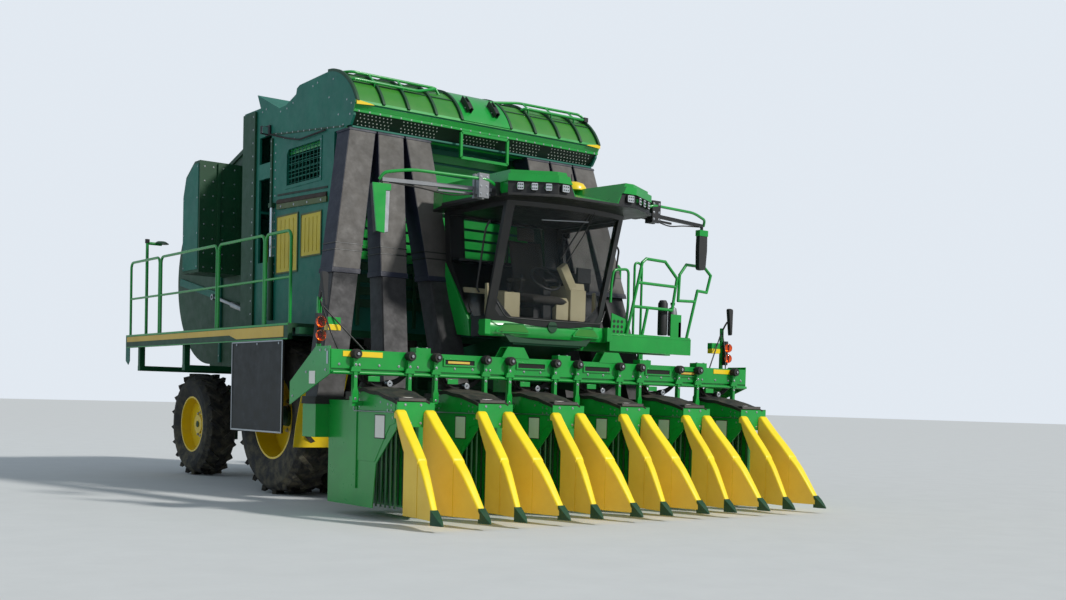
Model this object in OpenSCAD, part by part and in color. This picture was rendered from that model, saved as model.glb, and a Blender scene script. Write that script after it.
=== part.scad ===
// Six-row cotton picker that builds round modules, parked with its header lowered.
// Millimetres, +Z up, front towards -Y, the machine's left towards +X.
// Pieces are drawn with y = 0 at the row units' front plates, and at_origin() then
// puts the origin on the ground under the middle of the whole machine.

/* [Rows] */
// Number of rows picked
row_count = 6; // [6:1:6]
// Distance between rows
row_pitch = 965; // [950:5:980]
// Width of a unit's front plate
plate_w = 430; // [410:5:450]
// Distance from a row's centre to the left edge of its plate, at the machine's right
plate_off = 210; // [200:5:220]
// Top of the front plate
plate_top_z = 1200; // [1180:5:1220]
// Height of the front plate
plate_h = 250; // [230:5:270]
// Length of a unit's cabinet from front to rear
cabinet_len = 1380; // [1340:10:1400]
// Lowest point of a cabinet above the ground
cabinet_low_z = 120; // [100:5:160]
// Top of the cabinet behind its sloping cover
cabinet_top_z = 1200; // [1190:5:1210]
// Thickness of the units' sheet metal
sheet = 10; // [8:1:12]
// Width of the slot that the plants pass through
throat_w = 200; // [190:5:210]
// Reach of the stalk guides ahead of the front plates
guide_reach = 820; // [780:10:840]
// Height of a stalk guide above its lower edge
guide_h = 1030; // [1000:10:1050]
// Distance from a row's middle to the near side of its guides at the plate
guide_near = 95; // [92:1:98]
// Length of a guide's pointed shoe
shoe_len = 130; // [110:5:150]
// Height of the shoes above the ground
shoe_z = 60; // [50:5:80]

/* [Header] */
// Front face of the toolbar, behind the front plates
toolbar_y = 670; // [660:5:690]
// Depth of the toolbar
toolbar_d = 230; // [210:5:240]
// Height of the toolbar
toolbar_h = 190; // [180:5:200]
// Top of the toolbar
toolbar_top_z = 1710; // [1700:5:1730]
// Half length of the toolbar
toolbar_half = 2990; // [2960:5:3010]
// Distance of the lift arms from the middle
arm_x = 620; // [610:5:630]
// Width of a lift arm
arm_w = 80; // [70:5:90]
// Lift arms' rear pivot, behind the front plates
arm_pivot_y = 2620; // [2600:5:2640]
// Height of the lift arms' rear pivot
arm_pivot_z = 1610; // [1600:5:1620]
// Lift arms' front pin, behind the front plates
arm_pin_y = 1035; // [1025:5:1045]
// Height of the lift arms' front pin
arm_pin_z = 1400; // [1390:5:1410]
// Radius of the lift arms' pins
pin_r = 35; // [30:1:40]
// Clearance round a turning pin
pin_fit = 0.05; // [0.02:0.01:0.08]

/* [Wheels] */
// Radius of a front tyre over its lugs
front_r = 975; // [960:5:985]
// Width of a front tyre
front_w = 520; // [500:5:530]
// Distance between the middles of twin tyres
twin_gap = 660; // [640:5:680]
// Distance of the outer front tyre's middle from the middle of the machine
front_x = 1880; // [1860:5:1890]
// Front axle, behind the front plates
front_axle_y = 3850; // [3830:5:3870]
// Wheelbase
wheelbase = 3850; // [3820:5:3880]
// Radius of a rear tyre over its lugs
rear_r = 765; // [750:5:775]
// Width of a rear tyre
rear_w = 480; // [460:5:490]
// Distance of a rear wheel's middle from the middle of the machine
rear_x = 1380; // [1370:5:1400]
// Distance of the steering pins from the middle of the machine
kingpin_x = 1020; // [1010:5:1030]
// Height of a tyre's lugs
lug_h = 42; // [35:1:48]
// Number of lugs on each side of a tyre
lug_count = 20; // [18:1:22]

/* [Frame] */
// Distance from the middle to the outside of a frame rail
rail_out = 550; // [540:5:560]
// Width of a frame rail
rail_w = 140; // [130:5:150]
// Underside of the frame rails
rail_z = 1150; // [1140:5:1160]
// Height of the frame rails
rail_h = 300; // [290:5:310]
// Front end of the frame rails
rail_front_y = 1740; // [1720:5:1760]
// Rear end of the frame rails
rail_rear_y = 8600; // [8580:5:8620]
// Top of the platforms
deck_z = 2090; // [2080:5:2100]
// Outer face of the platforms
deck_out = 2300; // [2280:5:2320]
// Thickness of the platforms' deck
deck_t = 50; // [40:5:60]
// Rear end of the platforms
deck_rear_y = 8520; // [8500:5:8540]
// Outer radius of a handrail tube
rail_r = 19; // [17:1:22]
// Height of a handrail above its platform
handrail_h = 1100; // [1050:10:1150]

/* [Cab] */
// Half width of the cab
cab_half = 850; // [840:5:860]
// Underside of the cab
cab_z = 1960; // [1955:5:1970]
// Top of the cab's walls, under the roof
cab_top_z = 3450; // [3440:5:3470]
// Front of the cab's floor, at the middle
cab_front_y = 930; // [920:5:940]
// Rear of the cab
cab_rear_y = 1950; // [1940:5:1955]
// Lean of the windshield ahead of its foot
cab_lean = 380; // [370:5:390]
// Radius of the curved windshield, seen from above
screen_r = 2500; // [2450:10:2600]
// Thickness of the cab's walls and posts
cab_wall = 40; // [35:1:45]
// Thickness of the glass
glass_t = 10; // [8:1:12]
// Height of the cab's roof
roof_h = 270; // [260:5:280]

/* [Body] */
// Half width of the cotton box over its side plates
body_half = 1840; // [1830:5:1850]
// Thickness of the body's plates
plate_t = 30; // [25:1:32]
// Underside of the hood
lip_z = 4370; // [4360:5:4380]
// Foot of the hood's front lip, behind the front plates
lip_y = 2395; // [2390:5:2400]
// Height of the lip's foot
lip_foot_z = 4548; // [4540:2:4556]
// Height at which the hood's curved front meets the lip
lip_head_z = 4640; // [4630:5:4650]
// Foot of the slanting band under the lip, behind the front plates
band_y = 2570; // [2560:5:2580]
// Radius of the hood's curved front
hood_r = 810; // [800:5:820]
// Top of the scoop, the highest point of the machine
top_z = 5180; // [5160:5:5200]
// Bottom of the cotton box
box_low_z = 3620; // [3610:5:3630]
// Rear of the cotton box and of its corner posts
box_rear_y = 5380; // [5370:5:5390]
// Half width of the module chamber over its side plates
chamber_half = 1370; // [1360:5:1380]
// Radius of the round module chamber
chamber_r = 1180; // [1170:5:1190]
// Middle of the module chamber, behind the front plates
chamber_y = 7550; // [7530:5:7570]
// Height of the middle of the module chamber
chamber_z = 2980; // [2970:5:2990]
// Front edge of the rear gate's side plates
gate_split_y = 7110; // [7100:5:7120]
// Rear gate's hinge, behind the front plates
gate_hinge_y = 6960; // [6950:5:6970]
// Height of the rear gate's hinge
gate_hinge_z = 4360; // [4350:5:4370]
// Height of the ribs round the gate's back
rib_h = 60; // [50:5:65]
// Rearmost point of the module handler, behind the front plates
handler_rear_y = 9080; // [9060:10:9100]
// Width of an air duct
duct_w = 345; // [330:5:350]
// Depth of an air duct
duct_d = 290; // [270:5:300]
// Step inwards from an upper duct to its lower section
duct_t = 12; // [10:1:14]

/* [Hidden] */

// Colours
bright_green = [0.11, 0.60, 0.26];
deep_green = [0.03, 0.33, 0.17];
guide_yellow = [0.96, 0.86, 0.10];
near_black = [0.07, 0.07, 0.08];
duct_grey = [0.40, 0.39, 0.37];
tint = [0.35, 0.45, 0.45, 0.5];

// Clearance between pieces that touch without being joined
gap = 0.3;
// Clearance between pieces that move past each other
clear = 8;
// Foremost point of the guide shoes
tip_y = -(guide_reach + shoe_len);
// Middle of the machine from front to rear
mid_y = (handler_rear_y + tip_y) / 2;
rear_axle_y = front_axle_y + wheelbase;

module at_origin() { translate([0, -mid_y, 0]) children(); }

// A block from its low corner to its high corner.
module block(low, high) { translate(low) cube(high - low); }

// The same children on the machine's left (side 1) and right (side -1).
module both() { for (side = [-1, 1]) scale_x(side) children(); }
module scale_x(side) { if (side < 0) mirror([1, 0, 0]) children(); else children(); }

// A flat outline of [y, z] points, standing from x0 to x1.
module side_slab(x0, x1) {
    translate([x0, 0, 0]) rotate([90, 0, 90]) linear_extrude(x1 - x0) children();
}

// A round bar between two points.
module bar(a, b, r) {
    v = b - a;
    translate(a) rotate([0, acos(v[2] / norm(v)), atan2(v[1], v[0])])
        cylinder(h = norm(v), r = r, $fn = 24);
}

// A bent tube through points, with a ball at each bend.
module tube(points, r) {
    for (i = [0 : len(points) - 2]) bar(points[i], points[i + 1], r);
    if (len(points) > 2)
        for (i = [1 : len(points) - 2]) translate(points[i]) sphere(r * 1.04, $fn = 24);
}

// A round bar along X.
module x_bar(x0, x1, y, z, r) {
    translate([x0, y, z]) rotate([0, 90, 0]) cylinder(h = x1 - x0, r = r, $fn = 48);
}

function row_x(i) = (i - (row_count - 1) / 2) * row_pitch;

// Frame rails, cross members, cab pedestal, body supports and the lift arms' brackets.
cross_ys = [2080, 5250, 6750, 8450];
support_ys = [2920, 4950];
under_ys = [6400, 8150];
under_z = 1550;
arm_ear = 14;
// Drawbar plate at the rear, with its pin hole.
drawbar_rear_y = 8740;
drawbar_z = 1180;
drawbar_hole_r = 20;
module chassis_frame() color(deep_green) {
    both() block([rail_out - rail_w, rail_front_y, rail_z],
                 [rail_out, rail_rear_y, rail_z + rail_h]);
    for (y = cross_ys)
        block([-(rail_out - rail_w), y - 60, rail_z + 40],
              [rail_out - rail_w, y + 60, rail_z + rail_h - 40]);
    both() {
        block([rail_out, arm_pivot_y + 80, rail_z + rail_h - 100],
              [arm_x + arm_w / 2 + 40, arm_pivot_y + 160, arm_pivot_z + 90]);
        for (x = [arm_x - arm_w / 2 - 6 - arm_ear, arm_x + arm_w / 2 + 6])
            block([x, arm_pivot_y - 70, arm_pivot_z - 70],
                  [x + arm_ear, arm_pivot_y + 80, arm_pivot_z + 70]);
        x_bar(arm_x - arm_w / 2 - 6 - arm_ear, arm_x + arm_w / 2 + 6 + arm_ear,
              arm_pivot_y, arm_pivot_z, pin_r);
    }
    both() x_bar(rail_out, rail_out + 100, handler_hinge[0], handler_hinge[1], pin_r);
    both() x_bar(rail_out, arm_x + arm_w / 2, cylinder_foot[0], cylinder_foot[1], 30);
    difference() {
        block([-90, cross_ys[3] - 60, drawbar_z], [90, drawbar_rear_y, drawbar_z + 40]);
        translate([0, drawbar_rear_y - 60, drawbar_z - 1])
            cylinder(h = 42, r = drawbar_hole_r, $fn = 48);
    }
}

// Cab pedestal and the cross beams that carry the platforms and the module chamber.
pedestal_half = 500;
pedestal_rear_y = 2300;
module body_supports() color(deep_green) {
    seat_z = rail_z + rail_h + gap;
    beam_top = deck_z - deck_t - gap;
    side_slab(-pedestal_half, pedestal_half)
        polygon([[rail_front_y, seat_z], [rail_front_y, 1720], [1000, 1880],
                 [1000, cab_z - gap], [1345, cab_z - gap], [pedestal_rear_y, 1820],
                 [pedestal_rear_y, seat_z]]);
    for (y = support_ys) {
        both() block([rail_out - rail_w, y - 50, seat_z], [rail_out, y + 50, beam_top - 80]);
        block([-deck_out + 60 + gap, y - 50, beam_top - 80], [deck_out - 60 - gap, y + 50, beam_top]);
    }
    for (y = under_ys) {
        both() {
            block([rail_out - rail_w, y - 50, seat_z], [rail_out, y + 50, under_z]);
            block([deck_out - 140, y - 40, under_z], [deck_out - 60 - gap, y + 40, beam_top]);
        }
        block([-deck_out + 60 + gap, y - 50, under_z], [deck_out - 60 - gap, y + 50, under_z + 75]);
    }
}

// Front axle with its final drives and stubs, rear axle beam with its steering pins.
stub_r = 60;
rear_stub_r = 48;
axle_half = 870;
kingpin_r = 30;
module axles() color(deep_green) {
    block([-axle_half + 200, front_axle_y - 130, front_r - 130],
          [axle_half - 200, front_axle_y + 130, front_r + 130]);
    both() {
        block([rail_out - rail_w, front_axle_y - 160, front_r + 100],
              [rail_out, front_axle_y + 160, rail_z]);
        x_bar(axle_half - 220, axle_half, front_axle_y, front_r, 235);
        x_bar(axle_half, front_x + 60, front_axle_y, front_r, stub_r);
        block([rail_out - rail_w, rear_axle_y - 80, rear_r + 100],
              [rail_out, rear_axle_y + 80, rail_z]);
        for (z = [rear_r - 230, rear_r + 150])
            block([kingpin_x - 160, rear_axle_y - 70, z], [kingpin_x + 60, rear_axle_y + 70, z + 80]);
        block([kingpin_x - 160, rear_axle_y - 70, rear_r - 230],
              [kingpin_x - 100, rear_axle_y + 70, rear_r + 230]);
        translate([kingpin_x, rear_axle_y, rear_r - 250])
            cylinder(h = 500, r = kingpin_r, $fn = 48);
    }
    block([-kingpin_x + 110, rear_axle_y - 80, rear_r - 100],
          [kingpin_x - 110, rear_axle_y + 80, rear_r + 130]);
}

module engine_block() color([0.2, 0.2, 0.2])
    block([-560, 3010, rail_z + rail_h], [560, 4300, 2650]);

// A tyre lying with its axle along X, centred at x = 0: [radius, width, rim radius].
module tyre(r, w, rim) {
    body_r = r - lug_h;
    half = w / 2;
    rotate([0, 90, 0]) rotate_extrude($fn = 96)
        polygon([[rim, -half * 0.82], [rim + 60, -half * 0.9], [(body_r + rim) / 2, -half],
                 [body_r - 70, -half * 0.95], [body_r, -half * 0.72], [body_r, half * 0.72],
                 [body_r - 70, half * 0.95], [(body_r + rim) / 2, half],
                 [rim + 60, half * 0.9], [rim, half * 0.82]]);
    intersection() {
        union() for (side = [-1, 1], i = [0 : lug_count - 1])
            rotate([(i + (side > 0 ? 0.5 : 0)) * 360 / lug_count, 0, 0])
                translate([side * half * 0.45, 0, body_r + lug_h / 2 - 12])
                    rotate([0, 0, side * 42])
                        cube([half * 1.05, 52, lug_h + 40], center = true);
        rotate([0, 90, 0]) cylinder(h = w, r = r, center = true, $fn = 96);
    }
}

// A rim with its disc and hub, its bore turning on a stub.
module rim(r, w, disc_x, bore) {
    rotate([0, 90, 0]) difference() {
        union() {
            rotate_extrude($fn = 72)
                polygon([[r - 25, -w * 0.41], [r - 1, -w * 0.41], [r - 1, w * 0.41],
                         [r - 25, w * 0.41]]);
            translate([0, 0, disc_x - 12]) cylinder(h = 24, r = r - 20, $fn = 72);
            translate([0, 0, disc_x - 60]) cylinder(h = 120, r = bore + 90, $fn = 48);
        }
        translate([0, 0, -w]) cylinder(h = 2 * w, r = bore, $fn = 64);
    }
}

front_rim_r = 540;
rear_rim_r = 420;
inner_x = front_x - twin_gap;
module front_tyres(side) color(near_black)
    for (x = [inner_x, front_x])
        translate([side * x, front_axle_y, front_r]) tyre(front_r, front_w, front_rim_r);
module front_rims(side) color(guide_yellow) scale_x(side) {
    translate([inner_x, front_axle_y, front_r]) rim(front_rim_r, front_w, 60, stub_r + pin_fit);
    translate([front_x, front_axle_y, front_r]) rim(front_rim_r, front_w, -60, stub_r + pin_fit);
    translate([inner_x + 119, front_axle_y, front_r]) rotate([0, 90, 0]) difference() {
        cylinder(h = twin_gap - 238, r = 190, $fn = 48);
        translate([0, 0, -1]) cylinder(h = twin_gap, r = 150, $fn = 48);
    }
}
module rear_tyre(side) color(near_black)
    translate([side * rear_x, rear_axle_y, rear_r]) tyre(rear_r, rear_w, rear_rim_r);
module rear_rim(side) color(guide_yellow) scale_x(side)
    translate([rear_x, rear_axle_y, rear_r]) rim(rear_rim_r, rear_w, 40, rear_stub_r + pin_fit);

// Steering knuckle: a block on the steering pin with the wheel's stub.
module knuckle(side) color(deep_green) scale_x(side) difference() {
    union() {
        block([kingpin_x - 60, rear_axle_y - 60, rear_r - 142],
              [kingpin_x + 60, rear_axle_y + 60, rear_r + 142]);
        x_bar(kingpin_x + 60, rear_x + 110, rear_axle_y, rear_r, rear_stub_r);
    }
    translate([kingpin_x, rear_axle_y, rear_r - 200])
        cylinder(h = 400, r = kingpin_r + pin_fit, $fn = 48);
}

// Walls between the platforms and the cotton box, open for the grilles.
body_front_y = 2860;
grilles = [[3130, 3650, 2950, 3470], [3750, 4330, 2790, 3510]];
module lower_body() color(deep_green) difference() {
    union() {
        both() block([body_half - plate_t, body_front_y, deck_z],
                     [body_half, box_rear_y, box_low_z - gap]);
        block([-body_half + plate_t, body_front_y, deck_z],
              [body_half - plate_t, body_front_y + plate_t, box_low_z - gap]);
        block([-body_half + plate_t, box_rear_y - plate_t, deck_z],
              [body_half - plate_t, box_rear_y, box_low_z - gap]);
        difference() {
            block([-body_half, body_front_y, deck_z - deck_t], [body_half, box_rear_y, deck_z]);
            block([-600, body_front_y + plate_t, deck_z - deck_t - 1], [600, 4400, deck_z + 1]);
        }
    }
    for (g = grilles)
        block([-body_half - 1, g[0], g[2]], [body_half + 1, g[1], g[3]]);
    block([-body_half - 1, slots[1][0], slots[1][2]], [body_half + 1, slots[1][1], box_low_z]);
}

// Grilles with upright slits.
slit_w = 14;
module side_grilles() color(guide_yellow)
    both() for (g = grilles) difference() {
        block([body_half - plate_t + 5, g[0], g[2]], [body_half + 8, g[1], g[3]]);
        for (i = [1 : 4]) translate([0, g[0] + i * (g[1] - g[0]) / 5 - slit_w / 2, g[2] + 50])
            cube([body_half + 9, slit_w, g[3] - g[2] - 100]);
    }

// Cotton box: side plates with a mesh window and slots, front wall and floor.
front_wall_y = 2850;
slots = [[4540, 4900, 4250, 4600], [4540, 4900, 2960, 4050]];
window = [3190, 4080, 3880, 4330];
wire_r = 5;
module box_wires() both() {
    for (i = [1 : 8]) translate([body_half - 12, window[0] + i * (window[1] - window[0]) / 9, window[2] - 5])
        cylinder(h = window[3] - window[2] + 10, r = wire_r, $fn = 16);
    for (i = [1 : 4])
        translate([body_half - 20, window[0] - 5, window[2] + i * (window[3] - window[2]) / 5])
            rotate([-90, 0, 0]) cylinder(h = window[1] - window[0] + 10, r = wire_r, $fn = 16);
}
module box_shell() difference() {
    union() {
        both() block([body_half - plate_t, front_wall_y, box_low_z],
                     [body_half, box_rear_y, lip_z - gap]);
        block([-body_half + plate_t, front_wall_y, box_low_z],
              [body_half - plate_t, front_wall_y + plate_t, lip_z - gap]);
        block([-body_half + plate_t, box_rear_y - plate_t, box_low_z],
              [body_half - plate_t, box_rear_y, lip_z - gap]);
        block([-body_half + plate_t, front_wall_y + plate_t, box_low_z],
              [body_half - plate_t, box_rear_y - plate_t, box_low_z + plate_t]);
    }
    for (s = concat(slots, [window]))
        block([-body_half - 1, s[0], s[2]], [body_half + 1, s[1], s[3]]);
}
module cotton_box() color(deep_green) {
    box_shell();
    box_wires();
}

// Hood: curved front over a lip and a slanting band, a stepped top, and the upswept scoop.
hood_cy = lip_y + 685;
hood_cz = lip_z - 70;
// The top behind the curve, from front to rear: [y, depth below the highest point].
hood_top = [[3776, 90], [3851, 116], [3873, 186], [4153, 276], [4338, 280]];
scoop_tip_y = 4993;
scoop_foot = [4890, 190];
module hood_outline(inset) {
    r = hood_r - inset;
    head = [hood_cy - sqrt(r * r - pow(lip_head_z - hood_cz, 2)), lip_head_z];
    translate([hood_cy, hood_cz]) intersection() {
        circle(r = r, $fn = 120);
        translate([-hood_r, lip_head_z - hood_cz]) square([hood_r, hood_r]);
    }
    polygon(concat(
        [[band_y + inset, lip_z], [lip_y + inset, lip_foot_z], head, [hood_cy - 1, hood_cz + r]],
        [for (p = hood_top) [p[0], top_z - p[1] - inset]],
        [[scoop_tip_y - 2 * inset, top_z - 1.87 * inset],
         [scoop_foot[0] - 1.5 * inset, top_z - scoop_foot[1] - inset],
         [box_rear_y - inset, top_z - scoop_foot[1] - inset], [box_rear_y - inset, lip_z]]));
}
module hood() color(bright_green) {
    both() side_slab(body_half - plate_t, body_half) difference() {
        union() {
            hood_outline(0);
            polygon([[lip_y, lip_foot_z + 20], [lip_y, lip_foot_z - 50], [lip_y + 75, lip_z + 26],
                     [band_y + 30, lip_z + 26], [band_y + 30, lip_foot_z + 20]]);
        }
        translate([slots[0][0], lip_z - 1])
            square([slots[0][1] - slots[0][0], slots[0][3] - lip_z + 1]);
    }
    side_slab(-body_half + plate_t, body_half - plate_t) difference() {
        hood_outline(0);
        hood_outline(plate_t);
    }
    block([-body_half + plate_t, duct_top_y - duct_d / 2 - 10, lip_z],
          [body_half - plate_t, front_wall_y + plate_t, lip_z + 20]);
}

// Air ducts from the row units to the hood: [x under the hood, x at the unit].
ducts = [[-1670, -2610], [-1290, -1780], [-910, -920], [910, 860], [1290, 1400], [1670, 1900]];
duct_top_z = lip_z - gap;
duct_low_z = 1150;
duct_joint_z = 2620;
duct_top_y = 2620;
duct_low_y = 1530;
function duct_at(d, z) =
    let (t = (duct_top_z - z) / (duct_top_z - duct_low_z))
    [d[0] + t * (d[1] - d[0]), duct_top_y + t * (duct_low_y - duct_top_y), z];
module duct_part(d, z0, z1, inset) {
    a = duct_at(d, z0);
    b = duct_at(d, z1);
    w = duct_w / 2 - inset;
    h = duct_d / 2 - inset;
    polyhedron(
        points = [for (c = [a, b], k = [[-1, -1], [1, -1], [1, 1], [-1, 1]])
                      [c[0] + k[0] * w, c[1] + k[1] * h, c[2]]],
        faces = [[0, 1, 2, 3], [7, 6, 5, 4], [0, 4, 5, 1], [1, 5, 6, 2], [2, 6, 7, 3], [3, 7, 4, 0]]);
}
module upper_ducts() color(duct_grey)
    for (d = ducts) duct_part(d, duct_joint_z, duct_top_z, 0);
module lower_ducts() color(near_black)
    for (d = ducts) duct_part(d, duct_low_z, duct_joint_z - gap, duct_t);

// Fixed front half of the module chamber, with its sloping roof and outer housings.
belly_z = 1640;
chamber_wall = 30;
housing = [6500, 7180];
belly_bend_y = (box_rear_y + gate_split_y) / 2;
// The chamber's roof, from the box to the gate's hinge.
chamber_roof = [[box_rear_y + gap, top_z - 200], [gate_hinge_y - 160, gate_hinge_z + 280],
                [gate_hinge_y - 20, gate_hinge_z + 140]];
module chamber_side() polygon(concat(
    chamber_roof, [[gate_split_y - clear, gate_hinge_z - 30], [gate_split_y - clear, belly_z],
    [belly_bend_y, belly_z], [box_rear_y + gap, belly_z + 150]]));
module module_chamber() color(deep_green) {
    both() {
        side_slab(chamber_half - chamber_wall, chamber_half) chamber_side();
        side_slab(chamber_half, 2000)
            polygon([[housing[0], 2950], [housing[1] - 80, 2950], [housing[1] - 80, 4050],
                     [housing[1] - 180, 4330], [housing[0] + 190, 4520], [housing[0], 4520]]);
    }
    side_slab(-chamber_half + chamber_wall, chamber_half - chamber_wall)
        polygon(concat(chamber_roof, [for (i = [2 : -1 : 0]) chamber_roof[i] - [0, 35]]));
    side_slab(-chamber_half + chamber_wall, chamber_half - chamber_wall)
        polygon([[box_rear_y + gap, belly_z + 150], [belly_bend_y, belly_z],
                 [gate_split_y - clear, belly_z], [gate_split_y - clear, belly_z + chamber_wall],
                 [belly_bend_y, belly_z + chamber_wall],
                 [box_rear_y + gap, belly_z + 150 + chamber_wall]]);
    both() {
        block([rail_out - rail_w, under_ys[0] - 50, under_z + 75 + gap],
              [rail_out, under_ys[0] + 50, belly_z]);
        x_bar(chamber_half - 140, chamber_half - chamber_wall, gate_hinge_y, gate_hinge_z, pin_r);
        x_bar(chamber_half, chamber_half + 110, gate_cylinder[0][0], gate_cylinder[0][1], 30);
    }
}

// Rubber belts that line the front half of the round chamber.
belt_count = 6;
belt_gap = 30;
belt_t = 30;
roller_r = 60;
// Rollers that carry the belts, in degrees round the chamber from its top.
roller_angles = [30, 75, 105, 150];
module chamber_belts() color(near_black) {
    inside = chamber_half - chamber_wall - gap;
    pitch = (2 * inside + belt_gap) / belt_count;
    for (i = [0 : belt_count - 1])
        side_slab(-inside + i * pitch, -inside + (i + 1) * pitch - belt_gap) difference() {
            translate([chamber_y, chamber_z]) circle(r = chamber_r + belt_t, $fn = 240);
            translate([chamber_y, chamber_z]) circle(r = chamber_r, $fn = 240);
            translate([gate_split_y - 60, 0]) square([3000, 6000]);
        }
    for (a = roller_angles)
        x_bar(-inside, inside, chamber_y - (chamber_r + belt_t + roller_r - 5) * sin(a),
              chamber_z + (chamber_r + belt_t + roller_r - 5) * cos(a), roller_r);
}

// Rear gate: side plates and a round ribbed back, hung at its top by two arms.
gate_r = chamber_r + 120;
rib_xs = [-1140, -684, -228, 228, 684, 1140];
gate_arm = [460, 60, 20];
module gate_side() intersection() {
    difference() {
        union() {
            translate([chamber_y, chamber_z]) circle(r = gate_r, $fn = 96);
            polygon([[gate_split_y, belly_z], [gate_split_y, 4300], [7300, 4360],
                     [chamber_y, chamber_z + gate_r], [chamber_y, belly_z]]);
        }
        square([gate_split_y, 6000]);
    }
    translate([gate_split_y, belly_z]) square([3000, 3000]);
}
module rear_gate() color(bright_green) {
    both() side_slab(chamber_half - chamber_wall, chamber_half) gate_side();
    side_slab(-chamber_half + chamber_wall, chamber_half - chamber_wall) difference() {
        gate_side();
        translate([chamber_y, chamber_z]) circle(r = chamber_r + 60, $fn = 96);
        translate([gate_split_y - 10, belly_z + 30]) square([600, 2620]);
    }
    for (x = rib_xs) side_slab(x - 15, x + 15) intersection() {
        difference() {
            translate([chamber_y, chamber_z]) circle(r = gate_r + rib_h, $fn = 96);
            translate([chamber_y, chamber_z]) circle(r = gate_r - 10, $fn = 96);
        }
        translate([chamber_y + 300, belly_z + 200]) square([2000, 2250]);
    }
    both() difference() {
        side_slab(chamber_half - chamber_wall - 88, chamber_half - chamber_wall - 8) {
            translate([gate_hinge_y, gate_hinge_z]) circle(r = gate_arm[1] + 2, $fn = 48);
            translate([gate_hinge_y, gate_hinge_z])
                polygon([[0, gate_arm[1]], [gate_arm[0], -gate_arm[2]],
                         [gate_arm[0], -gate_arm[2] - 110], [0, -gate_arm[1]]]);
        }
        x_bar(0, chamber_half, gate_hinge_y, gate_hinge_z, pin_r + pin_fit);
    }
}

// The cylinders that open the gate: [y, z] of the foot, the barrel's end and the rod's eye.
gate_cylinder = [[5760, 2340], [6640, 2530], [7300, 2672]];
module ram(x, ends, barrel_r, rod_r, eye_w) {
    v = [for (e = ends) [x, e[0], e[1]]];
    difference() {
        union() {
            bar(v[0], v[1], barrel_r);
            bar(v[1], v[2], rod_r);
            for (i = [0, 2]) x_bar(x - eye_w / 2, x + eye_w / 2, ends[i][0], ends[i][1], 46);
        }
        x_bar(x - eye_w, x + eye_w, ends[0][0], ends[0][1], 30 + pin_fit);
        x_bar(x - eye_w, x + eye_w, ends[2][0], ends[2][1], 24);
    }
}
module gate_cylinders() color([0.8, 0.8, 0.82]) both()
    ram(chamber_half + 50, gate_cylinder, 45, 25, 80);

// Decks with their outer beams.
module deck(side, y0, y1) scale_x(side) {
    block([body_half + 20, y0, deck_z - deck_t], [deck_out - 60, y1, deck_z]);
    block([deck_out - 60, y0, deck_z - 190], [deck_out, y1, deck_z]);
}
// Ladder on the left: its inner face and its front and rear edges.
ladder = [2300, 1960, 2440];
module platform_right() color(deep_green) deck(-1, 3050, deck_rear_y);
module platform_left() color(bright_green) {
    deck(1, 2860, deck_rear_y);
    block([950, 1000, deck_z - deck_t], [deck_out, 1600, deck_z]);
    block([2050, 1600, deck_z - deck_t], [deck_out, 2860, deck_z]);
    block([950, 1000, deck_z - 220], [deck_out, 1060, deck_z - deck_t]);
    block([rail_out + gap, 1360, deck_z - 220], [deck_out, 1440, deck_z - deck_t]);
    for (x = [ladder[0], ladder[0] + 40])
        for (y = [ladder[1], ladder[2] - 40])
            block([x, y, 480], [x + 30, y + 40, deck_z]);
    for (z = [500 : 320 : deck_z - 150])
        block([ladder[0], ladder[1], z], [ladder[0] + 200, ladder[2], z + 30]);
}

// Handrails: rounded loops with a middle rail, and those round the front landing.
rail_loops = [[3080, 3760], [3800, 5180], [5240, 7240], [7300, 8470]];
rail_bend = 90;
module bend(at, turn) translate(at) rotate(turn) rotate_extrude(angle = 90, $fn = 24)
    translate([rail_bend, 0]) circle(r = rail_r, $fn = 16);
module rail_loop(x, y0, y1) {
    top = deck_z + handrail_h;
    for (y = [y0, y1]) bar([x, y, deck_z + gap], [x, y, top - rail_bend], rail_r);
    bar([x, y0 + rail_bend, top], [x, y1 - rail_bend, top], rail_r);
    bend([x, y0 + rail_bend, top - rail_bend], [90, 0, -90]);
    bend([x, y1 - rail_bend, top - rail_bend], [90, 0, 90]);
    bar([x, y0, deck_z + handrail_h / 2], [x, y1, deck_z + handrail_h / 2], rail_r - 3);
}
// Rails across the front of the left landing: [x, height] along each tube.
landing_y = 1020;
landing_rails = [
    [[1240, deck_z + gap], [1465, 2980], [1530, 3030], [1850, 3020], [2060, 2828], [1990, 2430]],
    [[1402, 2730], [2051, 2720]], [[1322, 2433], [1990, 2425]], [[1496, deck_z + gap], [1575, 2430]],
    [[2255, deck_z + gap], [2424, 2700], [2588, 2690], [2653, 2911], [2530, 3010], [2216, 3015],
     [2104, 2879], [2090, 2551], [2387, 2560]],
];
// Mast that stands at the rear of the right platform.
mast = [2100, 8250, 3490];
module handrails() color(bright_green) {
    both() for (loop = rail_loops) rail_loop(deck_out - 40, loop[0], loop[1]);
    difference() {
        for (rail = landing_rails) tube([for (p = rail) [p[0], landing_y, p[1]]], rail_r);
        block([0, landing_y - 2 * rail_r, deck_z - 2 * rail_r],
              [deck_out, landing_y + 2 * rail_r, deck_z + gap]);
    }
    tube([[-mast[0], mast[1], deck_z + gap], [-mast[0], mast[1], mast[2]],
          [-mast[0] + 220, mast[1], mast[2]]], rail_r + 4);
}

module wheel_shields() color(near_black) both()
    block([deck_out - 30, 3190, 780], [deck_out - 10, 4640, deck_z - 190]);

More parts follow.
